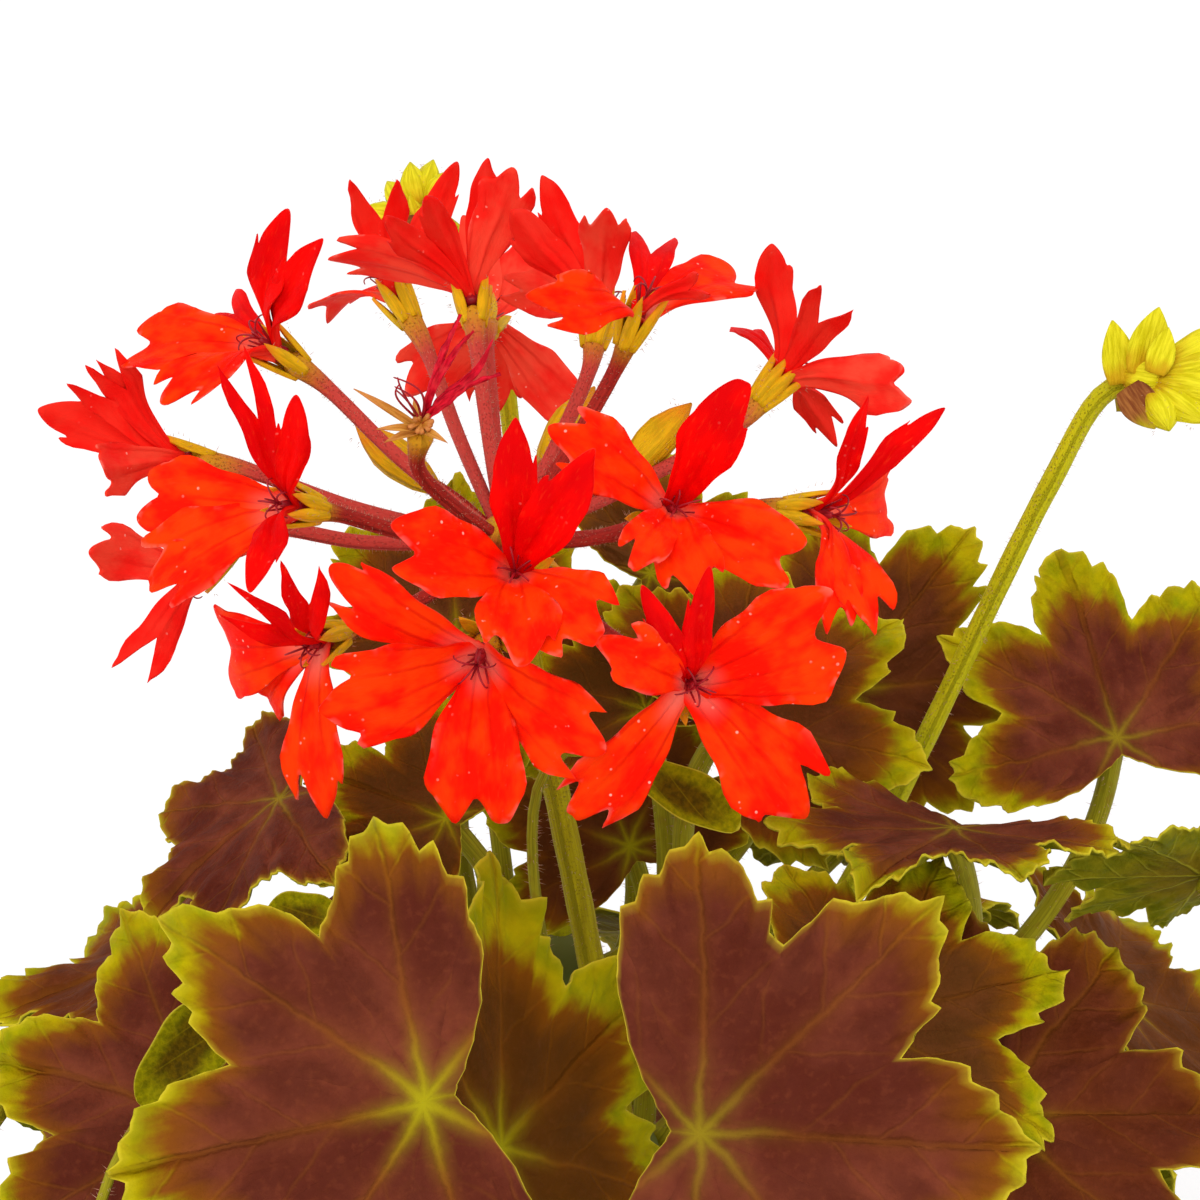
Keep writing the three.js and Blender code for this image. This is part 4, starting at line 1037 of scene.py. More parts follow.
# Flowers: the throat from the umbel's middle, the way it faces, and each petal's tip from the throat
# as the photo shows it, with its width and kind of end
UMBEL = seen(-9.5, 5.5, 0)
B, F, P = "broad", "forked", "pointed"
FLOWERS = [
    ((15.7, 2.7, 20), (0.3, 0.15, 0.94),
     [(-10.9, 7.6, 7.5, B), (7, 11.8, 6.5, P), (12.2, -5.6, 8.5, B), (3, -8, 6.5, B),
      (-3.6, -5.5, 5, B)]),
    ((30, 2.9, 10), (0.8, -0.1, 0.55),
     [(12.9, 10.2, 3, P), (4.5, 10.8, 2.6, P), (8.8, 2.5, 8, B), (5.3, -11.4, 6.5, B),
      (1.9, -11.2, 5, B)]),
    ((17.5, -13.1, 23.5), (0.3, -0.1, 0.95),
     [(-4.3, 9, 3.2, P), (1.6, 10.4, 3.2, P), (-8.2, 4.4, 6.5, B), (13.8, 5.6, 12, B),
      (-10.9, -12.6, 7.5, B), (11.3, -12.4, 10.5, B)]),
    ((1.7, -3.5, 28), (0.05, 0.2, 0.97),
     [(0.3, 14.2, 5, P), (7, 10.8, 6, P), (-10.6, 2.6, 8.5, B), (8, -5.7, 9, B),
      (0.9, -7.5, 8, B)]),
    ((-1.5, -10.5, 21), (-0.15, -0.35, 0.92),
     [(-15, -5, 10.5, B), (-0.3, -16, 10, B), (11.6, -8.9, 9.5, B), (-14.4, 7.8, 7, B)]),
    ((-16.9, -9.4, 15), (-0.5, -0.2, 0.84),
     [(-10.6, -0.9, 10, B), (-1.1, 8.1, 4.5, F), (0.3, -16.4, 7.5, B), (-8.4, 4.4, 4, F),
      (-6.4, -5.8, 5.4, B)]),
    ((-19, 3.3, 18), (-0.6, 0.1, 0.8),
     [(-6, 14.6, 4, F), (1.1, 9.9, 3.8, P), (-15.8, 1.1, 8.5, B), (-14.6, -7.4, 9, B),
      (-3, -8, 3.8, P)]),
    ((-33.5, 9, -11), (-0.95, 0.15, -0.1),
     [(-13.8, 4.8, 5.5, P), (-9.5, 8.7, 5, F), (-7.5, 10.3, 4.5, F), (-6.5, -1.5, 6, B)]),
    ((-22.7, 19.3, 0), (-0.7, 0.5, 0.45),
     [(-15.7, 0.8, 9, B), (-7.2, 6.2, 5, F), (1.4, 12.9, 5.4, P), (5.1, 9.6, 5.2, P),
      (-10.1, -5.8, 6, B)]),
    ((-3.9, 26, -15), (-0.1, 0.85, -0.5),
     [(-15.5, 4.6, 7.5, B), (-8.4, 7, 3.8, P), (-4.2, 9.2, 3.6, P), (2.1, 13.5, 4, P),
      (4.6, 12.4, 6.5, B)]),
    ((-12.4, 27, -27), (-0.45, 0.75, -0.4),
     [(-2.1, 12, 6.5, F), (6.6, 14.3, 4, P), (-8.9, -0.5, 7, B), (-1.5, 6, 5, B)]),
    ((-2.6, 24.6, -26), (0, 0.35, -0.93),
     [(10, -9.9, 6.5, B), (-9.4, -7, 8, B), (-2.8, 12.6, 6, B), (5.2, 10.2, 6, B),
      (0.5, -9, 7.5, B)]),
    ((9.3, 23.3, -11), (0.15, 0.85, -0.45),
     [(-5.7, 14.2, 4.4, P), (-8.9, 10.7, 5, P), (-10.4, 4.8, 5.4, B), (0.8, 9.9, 5.5, B)]),
    ((13.2, 22.4, 4), (0.35, 0.8, 0.45),
     [(2, 9.8, 5.4, F), (11.4, 4.6, 8, B), (6.3, 1.9, 3, F), (-10.4, 0.6, 6.5, B)]),
    ((27.6, 16.8, -8), (0.65, 0.7, -0.2),
     [(-1, 13.3, 4.6, P), (5.1, 7.4, 5.4, F), (-4, 6.6, 3.4, P), (12.7, -1, 6.5, B),
      (7.1, -5.3, 4, B)]),
    ((-30, -1.6, -4), (-0.75, -0.55, -0.3),
     [(-7, -11.4, 5, F), (-10, 1, 6, B), (2, 6, 5, B), (-6, 7, 4, F)]),
]
FADED = ((-7.5, 11.4, 15), (0.1, 0.7, 0.7))
# Single buds: place and direction
SINGLE_BUDS = [
    ((15.5, 11, -6), (0.65, 0.7, -0.2)),
    ((6.4, 13, -17), (0.5, 0.8, -0.3)),
    ((-12, 9.6, -11), (-0.75, 0.6, -0.2)),
]
PETAL_LENGTH, PETAL_SPREAD = 16.5, 68 * RAD
SLIM_PETAL, MOST_TWIST = 6.6, 0.85  # narrower petals turn their flat side to the front, up to this
COLUMN_HEIGHT, STYLES, STAMENS = 2.3, 5, 6
CUP_LENGTH, CUP_GAP = 5, 0.9  # the straight cup below a throat, and its distance from the throat
CROWN_RADIUS = 2.6  # where the flower stalks leave the umbel's crown
PEDICEL_RADIUS, BUD_STALK_RADIUS = 0.8, 0.82
# Half a petal's width at shares of its length, and the outlines of its ends
SIDE_WAY = [0, 0.062, 0.2, 0.36, 0.55, 0.7, 0.85, 1.05]
SIDE_WIDTH = [0.13, 0.15, 0.2, 0.31, 0.43, 0.5, 0.52, 0.5]
BROAD_ENDS = [
    [(-1, 0.6), (-0.93, 0.78), (-0.82, 0.9), (-0.68, 0.87), (-0.55, 0.8), (-0.42, 0.83), (-0.2, 0.96),
     (0, 1.0), (0.2, 0.96), (0.38, 0.86), (0.48, 0.81), (0.6, 0.86), (0.76, 0.92), (0.9, 0.83), (1, 0.6)],
    [(-1, 0.58), (-0.9, 0.75), (-0.75, 0.84), (-0.6, 0.82), (-0.45, 0.88), (-0.2, 0.98), (-0.04, 1.0),
     (0.14, 0.96), (0.3, 0.86), (0.42, 0.77), (0.54, 0.8), (0.7, 0.88), (0.85, 0.84), (1, 0.58)],
    [(-1, 0.6), (-0.88, 0.8), (-0.66, 0.96), (-0.46, 1.0), (-0.28, 0.96), (-0.1, 0.88), (0.04, 0.85),
     (0.2, 0.9), (0.4, 0.96), (0.6, 0.93), (0.78, 0.82), (0.9, 0.75), (1, 0.58)],
]
FORKED_END = [
    (-1, 0.6), (-0.9, 0.8), (-0.72, 1.0), (-0.54, 0.92), (-0.28, 0.72), (0.0, 0.58), (0.26, 0.7),
    (0.52, 0.82), (0.76, 0.94), (0.9, 0.8), (1, 0.6),
]
POINTED_END = [
    (-1, 0.55), (-0.8, 0.72), (-0.55, 0.86), (-0.25, 0.96), (0, 1.0), (0.25, 0.95), (0.5, 0.84),
    (0.62, 0.76), (0.75, 0.8), (0.88, 0.72), (1, 0.55),
]


def petal_reach(axis, right, up):
    """A petal of full length that the photo shows as this step right and up."""
    depth = math.sqrt(max(0, PETAL_LENGTH**2 - right**2 - up**2))
    choices = [along(right, up, depth), along(right, up, -depth)]
    return min(choices, key=lambda way: abs(angle_between(way, axis) - PETAL_SPREAD))


def build_petal(form, throat, axis, row, order, rng):
    """A petal, curved back over its length, with a notched end and a groove along the middle."""
    right, up, width, end = row
    reach = petal_reach(axis, right, up)
    ahead = unit(reach)
    face = unit(axis - ahead * np.dot(axis, ahead))
    side = np.cross(face, ahead)
    bend = 1.8 + 4 * max(0, -np.dot(ahead, axis))
    ends = {"forked": FORKED_END, "pointed": POINTED_END, "broad": BROAD_ENDS[order % 3]}[end]
    ends = np.array(ends, float)
    if order % 4 > 1:
        ends = (ends * [-1, 1])[::-1]
    ends[1:-1, 1] += rng.normal(0, 0.013, len(ends) - 2)
    ends[1:-1, 0] += rng.normal(0, 0.012, len(ends) - 2)
    if end != "forked":
        ends = catmull(np.insert(ends, 2, 0, axis=1), 8)
    columns, rows = 35, 20
    u = np.linspace(-1, 1, columns)
    u = np.sign(u) * (1 - (1 - np.abs(u)) ** 1.15)
    limit = np.interp(u, ends[:, 0], ends[:, 1])
    v = np.linspace(0, 1, rows) ** 0.9
    t = v[:, None] * limit[None]
    share = u[None] * np.interp(t, SIDE_WAY, SIDE_WIDTH)
    notch = 1 - 0.06 * np.sin(t * 17 + order) * (np.abs(u[None]) > 0.8)
    share = share * notch
    phase = order * 1.9
    ripple = 0.32 * np.sin(u * 4.2 + phase)[None] * t**2 + 0.22 * np.sin(t * 9 + phase) * u[None] ** 2
    groove = -0.28 * np.exp(-((u[None] / 0.16) ** 2)) * np.sin(math.pi * np.clip(t, 0, 1))
    curl = -0.55 * np.clip(t - 0.75, 0, 1) ** 2 * 10 * (0.5 + 0.5 * math.sin(order * 2.3))
    lift = bend * np.sin(math.pi * t) + 0.36 * share**2 * width * t + ripple + groove + curl
    view = along(0, 0, 1)
    turn = math.atan2(np.dot(view, side), np.dot(view, face))
    turn = turn if abs(turn) < math.pi / 2 else turn - math.copysign(math.pi, turn)
    twist = np.clip(turn, -MOST_TWIST, MOST_TWIST) * (width < SLIM_PETAL)
    twist = twist * np.clip((t - 0.15) / 0.45, 0, 1)[..., None]
    across = side * np.cos(twist) - face * np.sin(twist)
    over = face * np.cos(twist) + side * np.sin(twist)
    middle = throat + reach * t[..., None] - across * (width * share)[..., None]
    middle = (middle + over * lift[..., None]).reshape(-1, 3)
    kind = 0.0 if end == "broad" and width >= 5 else 1.0
    flat = np.stack([width * share, PETAL_LENGTH * t, t * 0 + order * 2.7], axis=-1).reshape(-1, 3)
    zone = np.stack([t, t * 0, t * 0 + kind], axis=-1).reshape(-1, 3)
    thick = (0.55 - 0.33 * v[:, None] ** 2 * np.ones_like(t)) * (1 - 0.35 * np.abs(u[None]) ** 6)
    facing = over.reshape(-1, 3)
    brink = np.clip((t - limit[None] + 0.035) / 0.035, 0, 1) * np.ones_like(t)
    brink = np.maximum(brink, np.abs(u[None]) ** 14 * (t > 0.4))
    look = np.tile(np.stack([brink, t * 0, t * 0], axis=-1).reshape(-1, 3), (2, 1))
    quads, loop = flipped(grid(rows, columns)), rim_of(rows, columns)[::-1]
    sheet(form, middle, facing, thick.ravel(), quads, (), loop, 0, flat, zone, look)


def build_flower(row, name, order):
    """Petals, the style column with its curling styles, and the stamens round it."""
    rng = np.random.default_rng(900 + order)
    throat, axis = UMBEL + along(*row[0]), unit(along(*row[1]))
    form = Form()
    for k, petal in enumerate(row[2]):
        build_petal(form, throat, axis, petal, order * 7 + k, rng)
    crown = throat + axis * COLUMN_HEIGHT
    column = np.linspace(throat - axis * 0.6, crown, 12)
    t = np.linspace(0, 1, 12)
    tube(form, column, 0.95 * (1 - 0.68 * t), 12, 1, order)
    for k in range(STYLES):
        way = around(axis, k * 72 * RAD + order, 75 * RAD)
        length = 1.7 + 0.8 * rng.uniform()
        curve = bezier([crown, crown + axis * 1.6 + way * 0.3, crown + axis * 1.6 + way * length,
                        crown + axis * 0.4 + way * length], 16)
        tube(form, curve, np.linspace(0.13, 0.07, 16), 6, 1, k, pointed=True)
    for k in range(STAMENS):
        turn = k * 2 * math.pi / STAMENS + 0.4 + order
        way = around(axis, turn, (18 + 12 * rng.uniform()) * RAD)
        root = throat + way * 0.8
        line = bezier([root, root + way * 1.6, root + way * (2.3 + rng.uniform())], 8)
        tube(form, line, np.linspace(0.13, 0.08, 8), 6, 1, k)
    form.make(f"{name}_look", [PETAL, STYLE], "petal", name)


# The faded flower's ribbons: points from its throat, width and twist
RIBBONS = [
    ([(0, 0, 0), (1.0, 3.0, 0.8), (2.0, 5.8, 1.2), (3.8, 10.2, 1.6)], 0.85, 1.6),
    ([(0, 0, 0), (1.3, 3.2, 1.4), (3.2, 6.6, 0.8), (5.0, 8.7, 0.4)], 0.75, -1.2),
    ([(0, 0, 0), (1.8, 1.8, 1.8), (5.4, 5.0, 2.2), (6.8, 7.8, 1.6)], 0.9, 2.0),
    ([(0, 0, 0), (2.2, 1.6, 2.2), (4.6, 3.2, 2.6), (7.6, 4.5, 2.2)], 1.15, -1.8),
]


def build_ribbon(form, path, width, twist, seed):
    """A narrow, shrivelled, twisted petal."""
    line = resample(catmull(path, 12), 26)
    ahead, first, second = frames_of(line)
    t = np.linspace(0, 1, 26)
    turn = 0.6 + seed + twist * t + 0.3 * np.sin(t * 9 + seed)
    side = first * np.cos(turn)[:, None] + second * np.sin(turn)[:, None]
    face = np.cross(side, ahead)
    u = np.linspace(-1, 1, 7)
    outline = np.interp(t, [0, 0.15, 0.4, 0.6, 0.8, 1], [0.35, 0.7, 0.9, 1, 0.62, 0.04])
    share = u[None] * outline[:, None] * width / 2
    lift = 0.3 * np.abs(u[None]) ** 2 * outline[:, None] + 0.08 * np.sin(t * 40)[:, None] * u[None]
    middle = (
        line[:, None] + side[:, None] * share[..., None] + face[:, None] * lift[..., None]
    ).reshape(-1, 3)
    flat = np.stack([share, share * 0 + (t * 14)[:, None], share * 0 + seed], axis=-1)
    strip(form, middle, np.repeat(face, 7, axis=0), 26, 7, 0.24, 0, flat, t)


def build_faded():
    """The withered flower: shrivelled petals, curled styles and a tan clump in the cup."""
    throat = UMBEL + along(*FADED[0])
    form = Form()
    for order, (places, width, twist) in enumerate(RIBBONS):
        build_ribbon(form, [throat + along(*place) for place in places], width, twist, order * 1.3)
    for k in range(5):
        way = along(-2.8 + 0.9 * k, 2.4 + 0.7 * math.sin(k * 2), 3.5)
        end = throat + way + along(0.9 - k, 0.9, 0.8)
        curve = bezier([throat, throat + way * 0.7, throat + way, end], 16)
        tube(form, curve, np.linspace(0.15, 0.08, 16), 6, 1, k, pointed=True)
    for k in range(9):
        way = unit(along(math.cos(k * 2.4), math.sin(k * 2.4) - 0.3, 1.2))
        line = np.linspace(throat, throat + way * (1.5 + 0.3 * math.sin(k * 5)), 6)
        tube(form, line, np.linspace(0.16, 0.28, 6), 8, 2, k)
    form.make("flower_faded_look", [FADED_PETAL, STYLE, TAN], "faded_petal", "flower_faded")


def strip(form, middle, face, rows, columns, depth, finish, flat, t, edge=0.0):
    """A sheet over a grid of rows and columns of points."""
    run = np.repeat(t, columns)
    zone = np.stack([run, run * 0, run * 0 + edge], axis=-1)
    quads, loop, flat = grid(rows, columns), rim_of(rows, columns), flat.reshape(-1, 3)
    sheet(form, middle, face, depth, quads, (), loop, finish, flat, zone)


def blade_strip(form, root, tip, face, width, seed, finish=0, cup=0.35, recurve=0.8, thick=0.4):
    """A pointed blade: a sepal or a bract."""
    ahead = tip - root
    length = np.linalg.norm(ahead)
    ahead = ahead / length
    face = unit(face - ahead * np.dot(face, ahead))
    side = np.cross(face, ahead)
    rows, columns = 12, 9
    t = np.linspace(0, 1, rows)
    u = np.linspace(-1, 1, columns)
    outline = np.sin(math.pi * np.clip(t * 0.8 + 0.2, 0, 1)) ** 0.75 * (1 - t**3 * 0.2)
    outline[-1] = 0.03
    share = u[None] * outline[:, None] * width / 2
    lift = cup * u[None] ** 2 * outline[:, None] - recurve * t[:, None] ** 2
    middle = (
        root
        + ahead * (t * length)[:, None, None]
        + side * share[..., None]
        + face * lift[..., None]
    ).reshape(-1, 3)
    flat = np.stack([share, share * 0 + (t * length)[:, None], share * 0 + seed], axis=-1)
    depth = thick * (1 - 0.6 * np.abs(u[None]) ** 2) * np.ones((rows, 1))
    faces = np.broadcast_to(face, middle.shape)
    strip(form, middle, faces, rows, columns, depth.ravel(), finish, flat, t)


def build_bud(form, foot, tip, width, seed):
    """An unopened bud: five keeled sepals folded to a point."""
    ahead = unit(tip - foot)
    length = np.linalg.norm(tip - foot)
    t = np.linspace(0, 1, 22)
    body = np.interp(t, [0, 0.06, 0.2, 0.45, 0.62, 0.82, 0.94, 1],
                     [0.34, 0.5, 0.78, 1, 0.96, 0.6, 0.25, 0.07])
    first = around(ahead, 0, 90 * RAD)
    sway = first * 0.25
    line = foot + ahead * (t * length)[:, None] + sway * np.sin(math.pi * t)[:, None]
    tube(form, line, body * width / 2, 20, 0, seed, ridge=0.1)


# The faded flower's dry sepals: tips from its throat
DRY_TIPS = [(-6, 3.2, 2), (-3.4, -0.4, 3.4), (-3.2, -1.5, 1), (2, -1.4, 3), (-1, 3, -3)]


def gaps_between(axis, rows):
    """Turns round a flower's axis that lie between its petals, where its sepals show."""
    side, other = around(axis, 0, 90 * RAD), around(axis, 90 * RAD, 90 * RAD)
    ways = [petal_reach(axis, right, up) for right, up, _, _ in rows]
    turns = sorted(math.atan2(np.dot(way, other), np.dot(way, side)) for way in ways)
    made = []
    for a, b in zip(turns, turns[1:] + [turns[0] + 2 * math.pi]):
        count = round((b - a) / (66 * RAD)) or 1
        if b - a > 26 * RAD:
            made += [a + (b - a) * (k + 0.5) / count for k in range(count)]
    return made


def build_umbel():
    """Everything that carries the flowers: crown, stalks, cups and sepals, with the single buds."""
    rng = np.random.default_rng(77)
    stalks, sepals = Form(), Form()
    for order, row in enumerate([*FLOWERS, FADED]):
        axis = unit(along(*row[1]))
        throat = UMBEL + along(*row[0])
        top = throat - axis * CUP_GAP
        foot = top - axis * CUP_LENGTH
        out = unit(foot - UMBEL)
        root = UMBEL + out * CROWN_RADIUS
        mid = (UMBEL + out * 3.2 + foot) / 2 + [0, 0, -0.8]
        path = catmull([root, mid, foot, top - axis * 0.3], 20)
        line = resample(path, 48)
        t = np.linspace(0, 1, 48)
        radii = PEDICEL_RADIUS * (0.86 + 0.14 * t) + 0.72 * np.clip((t - 0.76) / 0.24, 0, 1) ** 1.6
        radii = radii * (1 - 0.6 * np.clip((t - 0.955) / 0.045, 0, 1) ** 2)
        pink = 0.75 if row[0][2] < 2 else 0.1
        tube(stalks, line, radii, 14, 0, order * 2.1, (pink, 0, 0), 0.025)
        hairs(stalks, line, radii, 300, 0.45, rng, 2, 0.03, (0.05, 1))
        if row is FADED:
            for k, place in enumerate(DRY_TIPS):
                face = unit(along(0, 0.3, 1))
                blade_strip(sepals, throat - axis, throat + along(*place), face, 0.85, k, 1, 0.3, 0.9)
            continue
        open_wide = row[1][2] > 0.85
        for k, turn in enumerate(gaps_between(axis, row[2])):
            out_way = around(axis, turn, 90 * RAD)
            base = top - axis * 2.4 + out_way * 1.2
            reach = (0.6, 4.4) if open_wide else (3.6 + 0.6 * math.sin(order + k), 2.8)
            tip = top + axis * reach[0] + out_way * reach[1]
            face = unit(axis * 0.8 - out_way * 0.6)
            blade_strip(sepals, base, tip, face, 1.5, order * 5 + k, 0, 0.4, -0.5)
            hairs(sepals, resample(np.array([base, tip]), 8), 0.5, 14, 0.6, rng, 2, 0.035)
    for order, row in enumerate(SINGLE_BUDS):
        axis = unit(along(*row[1]))
        tip = UMBEL + along(*row[0]) + axis * 5
        foot = tip - axis * 11
        out = unit(foot - UMBEL)
        mid = (UMBEL + out * 3.2 + foot) / 2 + [0, 0, 1.0]
        path = bezier([UMBEL + out * CROWN_RADIUS, mid, foot + axis])
        line = resample(path, 30)
        tube(stalks, line, BUD_STALK_RADIUS, 12, 0, 90 + order)
        hairs(stalks, line, BUD_STALK_RADIUS, 150, 0.6, rng, 2, 0.04)
        build_bud(sepals, foot, tip, 4.0, 3.0 * order)
        hairs(sepals, resample(np.array([foot, tip]), 12), 1.6, 90, 0.55, rng, 2, 0.035)
    crown = resample(np.array([UMBEL + [0, 0, -3.6], UMBEL + [0, 0, 0.2], UMBEL + [0, 0, 2.9]]), 16)
    t = np.linspace(-1, 1, 16)
    tube(stalks, crown, 3.5 * np.sqrt(np.clip(1 - t**2, 0.06, 1)), 20, 0, 3.3, ridge=0.06)
    for k in range(9):
        way = around(np.array([0, 0, -1.0]), k * 40 * RAD, 62 * RAD)
        blade_strip(sepals, UMBEL + way * 2.0, UMBEL + way * 6.5, [0, 0, 1.0], 2.4, k, 0, 0.3, 0.5)
    path = peduncle_path("centre", [seen(-1.6, -36, -27), UMBEL])
    add_peduncle(stalks, path, rng, 1.42)
    stalks.make("umbel_stalks_look", [PEDICEL, PEDUNCLE, HAIR], "flower_stalk", "umbel_stalks")
    sepals.make("umbel_sepals_look", [SEPAL, TAN, HAIR], "bud", "umbel_stalks")


def peduncle_path(stem, places):
    """A flower stalk's line from the end of its stem."""
    line = stem_lines[stem]
    ahead = unit(line[-1] - line[-2])
    foot = line[-1] + ahead * 0.3
    return resample(catmull([foot, foot + ahead * 6, *places], 30), 70)


def add_peduncle(form, path, rng, radius):
    t = np.linspace(0, 1, len(path))
    radii = radius * (1.12 - 0.2 * t) * (1 + 0.02 * np.sin(t * 60))
    radii = radii * (1 + 0.35 * np.clip((0.05 - t) / 0.05, 0, 1))
    tube(form, path, radii, 16, 1, 5.5, ridge=0.015)
    hairs(form, path, radii, 700, 0.6, rng, 2, 0.035)


def build_bud_umbel(name, stem, places, bracts, tips, width, seed):
    """Nodding buds on a stalk: bracts and bud tips are given from its head, seen from the front."""
    rng = np.random.default_rng(seed)
    stalks, buds = Form(), Form()
    path = peduncle_path(stem, places)
    add_peduncle(stalks, path, rng, 1.12)
    head = places[-1]
    middle = unit(np.mean([along(*tip) for tip in tips], axis=0))
    for k, (base, tip, wide, finish) in enumerate(bracts):
        face = along(0.2, -0.1, 1 if tip[2] > -1 else -1)
        root, end = head + along(*base), head + along(*tip)
        blade_strip(buds, root, end, face, wide, k, finish, 0.7, -0.5, 0.5)
    for k, place in enumerate(tips):
        tip = along(*place)
        way = unit(tip)
        stalk = np.linspace(head, head + way * 3.0, 6)
        tube(buds, stalk, 0.8, 10, 0, k)
        build_bud(buds, head + way * 1.6, head + tip, width, k * 1.7)
        line = resample(np.array([head + way * 2, head + tip * 0.92]), 12)
        hairs(buds, line, width * 0.43, 70, 0.4, rng, 2, 0.03)
    ball = np.linspace(head - middle * 2.2, head + middle * 2.2, 12)
    t = np.linspace(-1, 1, 12)
    tube(buds, ball, 2.2 * np.sqrt(np.clip(1 - t**2, 0.06, 1)), 14, 0, 4.4)
    stalks.make(f"{name}_stalk_look", [PEDICEL, PALE_PEDUNCLE, HAIR], "flower_stalk", name)
    buds.make(f"{name}_look", [BUD, BRACT, HAIR], "bud", name)


# Pot and soil
DRAINS, DRAIN_RADIUS, DRAIN_RING = 3, 5, 24
SOIL_EDGE = 53.4
CRUMBS, GRIT_SHARE = 420, 0.12


def lathe(form, profile, segments, wobble):
    """A turned body, a little out of round."""
    r, z = np.array(profile).T
    turn = np.arange(segments) * 2 * math.pi / segments
    ring = r[:, None] * (1 + wobble * np.sin(3 * turn)[None])
    points = np.stack(
        [ring * np.cos(turn), ring * np.sin(turn), z[:, None] + 0 * ring], axis=-1
    ).reshape(-1, 3)
    form.add(points, grid(len(r), segments, True))


def rounded(corners, radius=0.9, steps=5):
    """A profile with its corners rounded."""
    corners = np.array(corners, float)
    made = [corners[0]]
    for before, here, after in zip(corners, corners[1:], corners[2:]):
        back, on = unit(before - here), unit(after - here)
        cut = min(radius, np.linalg.norm(before - here) / 2.2, np.linalg.norm(after - here) / 2.2)
        made += list(bezier([here + back * cut, here, here + on * cut], steps))
    made.append(corners[-1])
    long = []
    for a, b in zip(made, made[1:]):
        pieces = max(1, int(np.linalg.norm(b - a) / 4))
        long += [a + (b - a) * k / pieces for k in range(pieces)]
    return long + [made[-1]]


def build_pot():
    """A turned clay pot with its drain holes cut through."""

    def body(z):
        return 44 + 16.5 * z / 96

    corners = [
        (0.01, 0), (42.5, 0), (44, 1.5), (body(76), 76), (62.5, 78), (64, 94), (62, 96),
        (59, 95), (body(76) - 5, 74), (40, 6), (0.01, 6),
    ]
    form = Form()
    lathe(form, rounded(corners), 192, 0.0012)
    pot = form.make("pot_look", [CLAY], "clay", "pot")
    cutters = []
    for k in range(DRAINS):
        turn = 0.5 + k * 2 * math.pi / DRAINS
        x, y = DRAIN_RING * math.cos(turn), DRAIN_RING * math.sin(turn)
        cut = Form()
        tube(cut, [(x, y, -6), (x, y, 4), (x, y, 14)], DRAIN_RADIUS, 32)
        hole = cut.make(f"drain_cutter_{k}", [CLAY], "clay")
        change = pot.modifiers.new("drain", "BOOLEAN")
        change.operation, change.object, change.solver = "DIFFERENCE", hole, "EXACT"
        cutters.append(hole)
    bpy.context.view_layer.update()
    evaluated = pot.evaluated_get(bpy.context.evaluated_depsgraph_get())
    mesh = bpy.data.meshes.new_from_object(evaluated)
    pot.modifiers.clear()
    pot.data = mesh
    for hole in cutters:
        bpy.data.objects.remove(hole)


def soil_height(x, y):
    """Higher in the middle, lumpy, and level at the pot's wall."""
    r = np.hypot(x, y)
    base = np.interp(r, [0, 22, 40.8, 52.5, 53.5], [88.6, 86.8, 83.2, 80.4, 79.8])
    lumps = 0.5 * np.sin(x * 0.61 + 1) * np.sin(y * 0.53) + 0.4 * np.sin(x * 1.3 + y * 0.9 + 2)
    lumps = lumps + 0.28 * np.sin(x * 2.7 - y * 1.9) + 0.22 * np.sin(x * 1.7 + y * 3.4)
    return base + lumps * np.clip((53.5 - r) / 4, 0, 1)


def build_soil():
    """A lumpy surface over a filled body, with crumbs and a little white grit on it."""
    rng = np.random.default_rng(5)
    form = Form()
    segments = 240
    turn = np.arange(segments) * 2 * math.pi / segments
    rings = np.linspace(0.4, SOIL_EDGE, 78)
    x, y = rings[:, None] * np.cos(turn), rings[:, None] * np.sin(turn)
    z = soil_height(x, y) + rng.normal(0, 0.16, x.shape)
    points = np.stack([x, y, z], axis=-1).reshape(-1, 3)
    skirt = []
    for radius, level in ((SOIL_EDGE, 76.5), (52.6, 73), (40, 8), (0.4, 8)):
        ring = np.stack([radius * np.cos(turn), radius * np.sin(turn), 0 * turn + level], axis=-1)
        skirt.append(ring)
    points = np.vstack([points, *skirt, [[0, 0, soil_height(0, 0)]]])
    quads = flipped(grid(len(rings) + 4, segments, True))
    k = np.arange(segments)
    top = np.stack([np.full(segments, len(points) - 1), k, (k + 1) % segments], axis=1)
    low = (len(rings) + 3) * segments
    under = np.stack([np.full(segments, low), low + (k + 1) % segments, low + k], axis=1)
    form.add(points, quads, np.vstack([top, under]), 0)
    for _ in range(CRUMBS):
        r, angle = 52 * math.sqrt(rng.uniform()), rng.uniform(0, 2 * math.pi)
        centre = np.array([r * math.cos(angle), r * math.sin(angle)])
        size = rng.uniform(0.5, 1.7)
        crumb(form, centre, size, rng, 1 if rng.uniform() < GRIT_SHARE else 0)
    form.make("soil_look", [SOIL, GRIT], "soil", "soil")


# An icosahedron, the start of each crumb
GOLD = (1 + 5**0.5) / 2
BALL = unit(
    [(-1, GOLD, 0), (1, GOLD, 0), (-1, -GOLD, 0), (1, -GOLD, 0), (0, -1, GOLD), (0, 1, GOLD),
     (0, -1, -GOLD), (0, 1, -GOLD), (GOLD, 0, -1), (GOLD, 0, 1), (-GOLD, 0, -1), (-GOLD, 0, 1)]
)
BALL_FACES = [
    (0, 11, 5), (0, 5, 1), (0, 1, 7), (0, 7, 10), (0, 10, 11), (1, 5, 9), (5, 11, 4), (11, 10, 2),
    (10, 7, 6), (7, 1, 8), (3, 9, 4), (3, 4, 2), (3, 2, 6), (3, 6, 8), (3, 8, 9), (4, 9, 5),
    (2, 4, 11), (6, 2, 10), (8, 6, 7), (9, 8, 1),
]


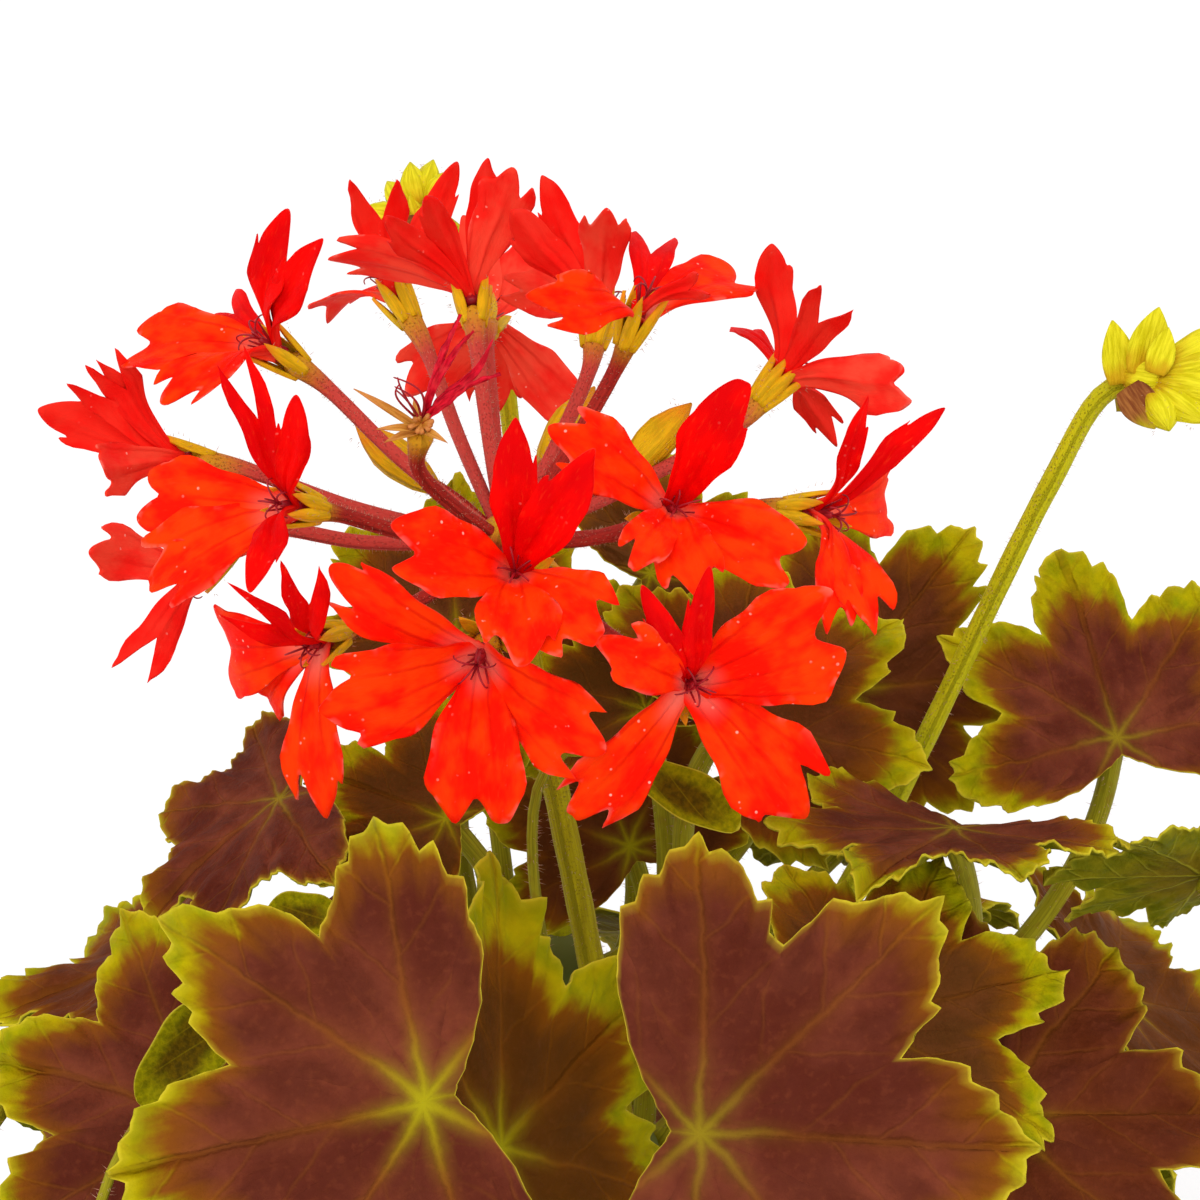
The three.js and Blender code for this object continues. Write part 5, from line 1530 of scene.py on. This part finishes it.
def crumb(form, centre, size, rng, finish):
    """A lump of soil or grit, half sunk in the surface."""
    shape = BALL * rng.uniform(0.6, 1.2, (12, 1)) * rng.uniform(0.5, 1.1, 3) * size
    turn = rng.uniform(0, 2 * math.pi)
    c, s = math.cos(turn), math.sin(turn)
    shape = shape @ np.array([[c, s, 0], [-s, c, 0], [0, 0, 1]])
    z = soil_height(centre[0], centre[1]) + size * 0.25
    form.add(shape + [*centre, z], (), BALL_FACES, finish)


build_pot()
build_soil()
build_stems()
leaves = [front_leaf(*row) for row in FRONT_LEAVES] + ring_leaves()
for order, row in enumerate(leaves + [young_leaf(*row) for row in YOUNG_LEAVES]):
    build_leaf(row, order)
for order, row in enumerate(FOLDS):
    build_fold(*row, order)
for order, row in enumerate(FLOWERS):
    build_flower(row, f"flower_{order + 1:02d}", order)
build_faded()
build_umbel()
build_bud_umbel(
    "buds_right", "right",
    [seen(33.4, -19.7, -30), seen(46.4, 12, -10), seen(51.2, 21, -5), seen(54.8, 22.6, -4)],
    [((-2.3, -0.8, 0.8), (-3.3, 5.6, 1.2), 3.6, 0), ((-0.4, 0, 1.5), (1.4, 6.9, 1), 4.6, 0),
     ((0.8, 0.2, 2.2), (2.2, 4.8, 2), 3, 0), ((-1.8, -1.2, 1.6), (1, -5.4, 1.4), 4, 1),
     ((0.5, 0, -1), (0.5, 4, -5), 4, 0), ((-0.5, -1, -1), (-2, -3.4, -4), 4, 1)],
    [(11.5, 5.2, 1), (11, 0.8, 3.4), (9.6, -2.6, 4.4), (6.4, -4.8, 3), (2.4, -5.6, 2.4), (10, 2.4, -3.4),
     (9, -2, -4), (5, -4, -3)],
    3.7, 31,
)
build_bud_umbel(
    "buds_back", "back",
    [seen(-9.6, 14, -50), seen(-12.5, 33, -48), seen(-17.5, 43, -47), seen(-20, 43, -45)],
    [((-0.5, 0.2, 1), (-3.6, 2.4, 0.5), 3, 0), ((0, 0.3, 1), (-1, 4.6, 1), 3, 0),
     ((0.3, 0.2, 1), (2.6, 3.4, 1), 3, 0), ((-0.5, -0.2, 1), (-3, -1.8, 2), 3, 1)],
    [(-1.6, 6.8, 1), (1, 7.2, 0), (3, 5.6, 2), (-7, 1.4, 2), (-6.4, -1, 0), (-4.4, 5, -2), (0, 3, -5.6)],
    3.2, 32,
)

# Floor, light and camera: a white floor under an even white sky, with a soft key light from the left
# of the camera and a weak fill from the right
floor_mesh = bpy.data.meshes.new("floor")
floor_mesh.from_pydata([(-6, -6, 0), (6, -6, 0), (6, 6, 0), (-6, 6, 0)], [], [(0, 1, 2, 3)])
floor = bpy.data.objects.new("floor", floor_mesh)
material("floor_white")
floor_mesh.materials.append(finish_of((0.96, 0.96, 0.96), 0.9, None, 0, 0.1))
bpy.context.scene.collection.objects.link(floor)
floor.location.z = -0.0003

world = bpy.data.worlds.new("studio")
world.use_nodes = True
world.node_tree.nodes["Background"].inputs["Color"].default_value = (1, 1, 1, 1)
world.node_tree.nodes["Background"].inputs["Strength"].default_value = 1.0
scene = bpy.context.scene
scene.world = world
scene.view_settings.view_transform = "Standard"


def softbox(name, place_at, size, power):
    """A round soft light that looks at the middle of the plant."""
    lamp = bpy.data.lights.new(name, "AREA")
    lamp.shape, lamp.size, lamp.energy = "DISK", size, power
    holder = bpy.data.objects.new(name, lamp)
    scene.collection.objects.link(holder)
    holder.location = place_at
    aim = np.array([0, 0, 0.18]) - np.array(place_at)
    holder.rotation_mode = "QUATERNION"
    holder.rotation_quaternion = Vector(aim).to_track_quat("-Z", "Y")


softbox("key", (-0.22, -0.72, 1.2), 0.8, 4.4)
softbox("fill", (0.9, -0.7, 0.9), 0.9, 0.6)

camera = bpy.data.cameras.new("camera")
camera.lens, camera.sensor_width, camera.clip_start = 96, 36, 0.01
viewer = bpy.data.objects.new("camera", camera)
scene.collection.objects.link(viewer)
viewer.location = (SIGHT - EYE_DISTANCE * np.array([0, math.cos(TILT), -math.sin(TILT)])) * MM
viewer.rotation_euler = (math.pi / 2 - TILT, 0, 0)
scene.camera = viewer
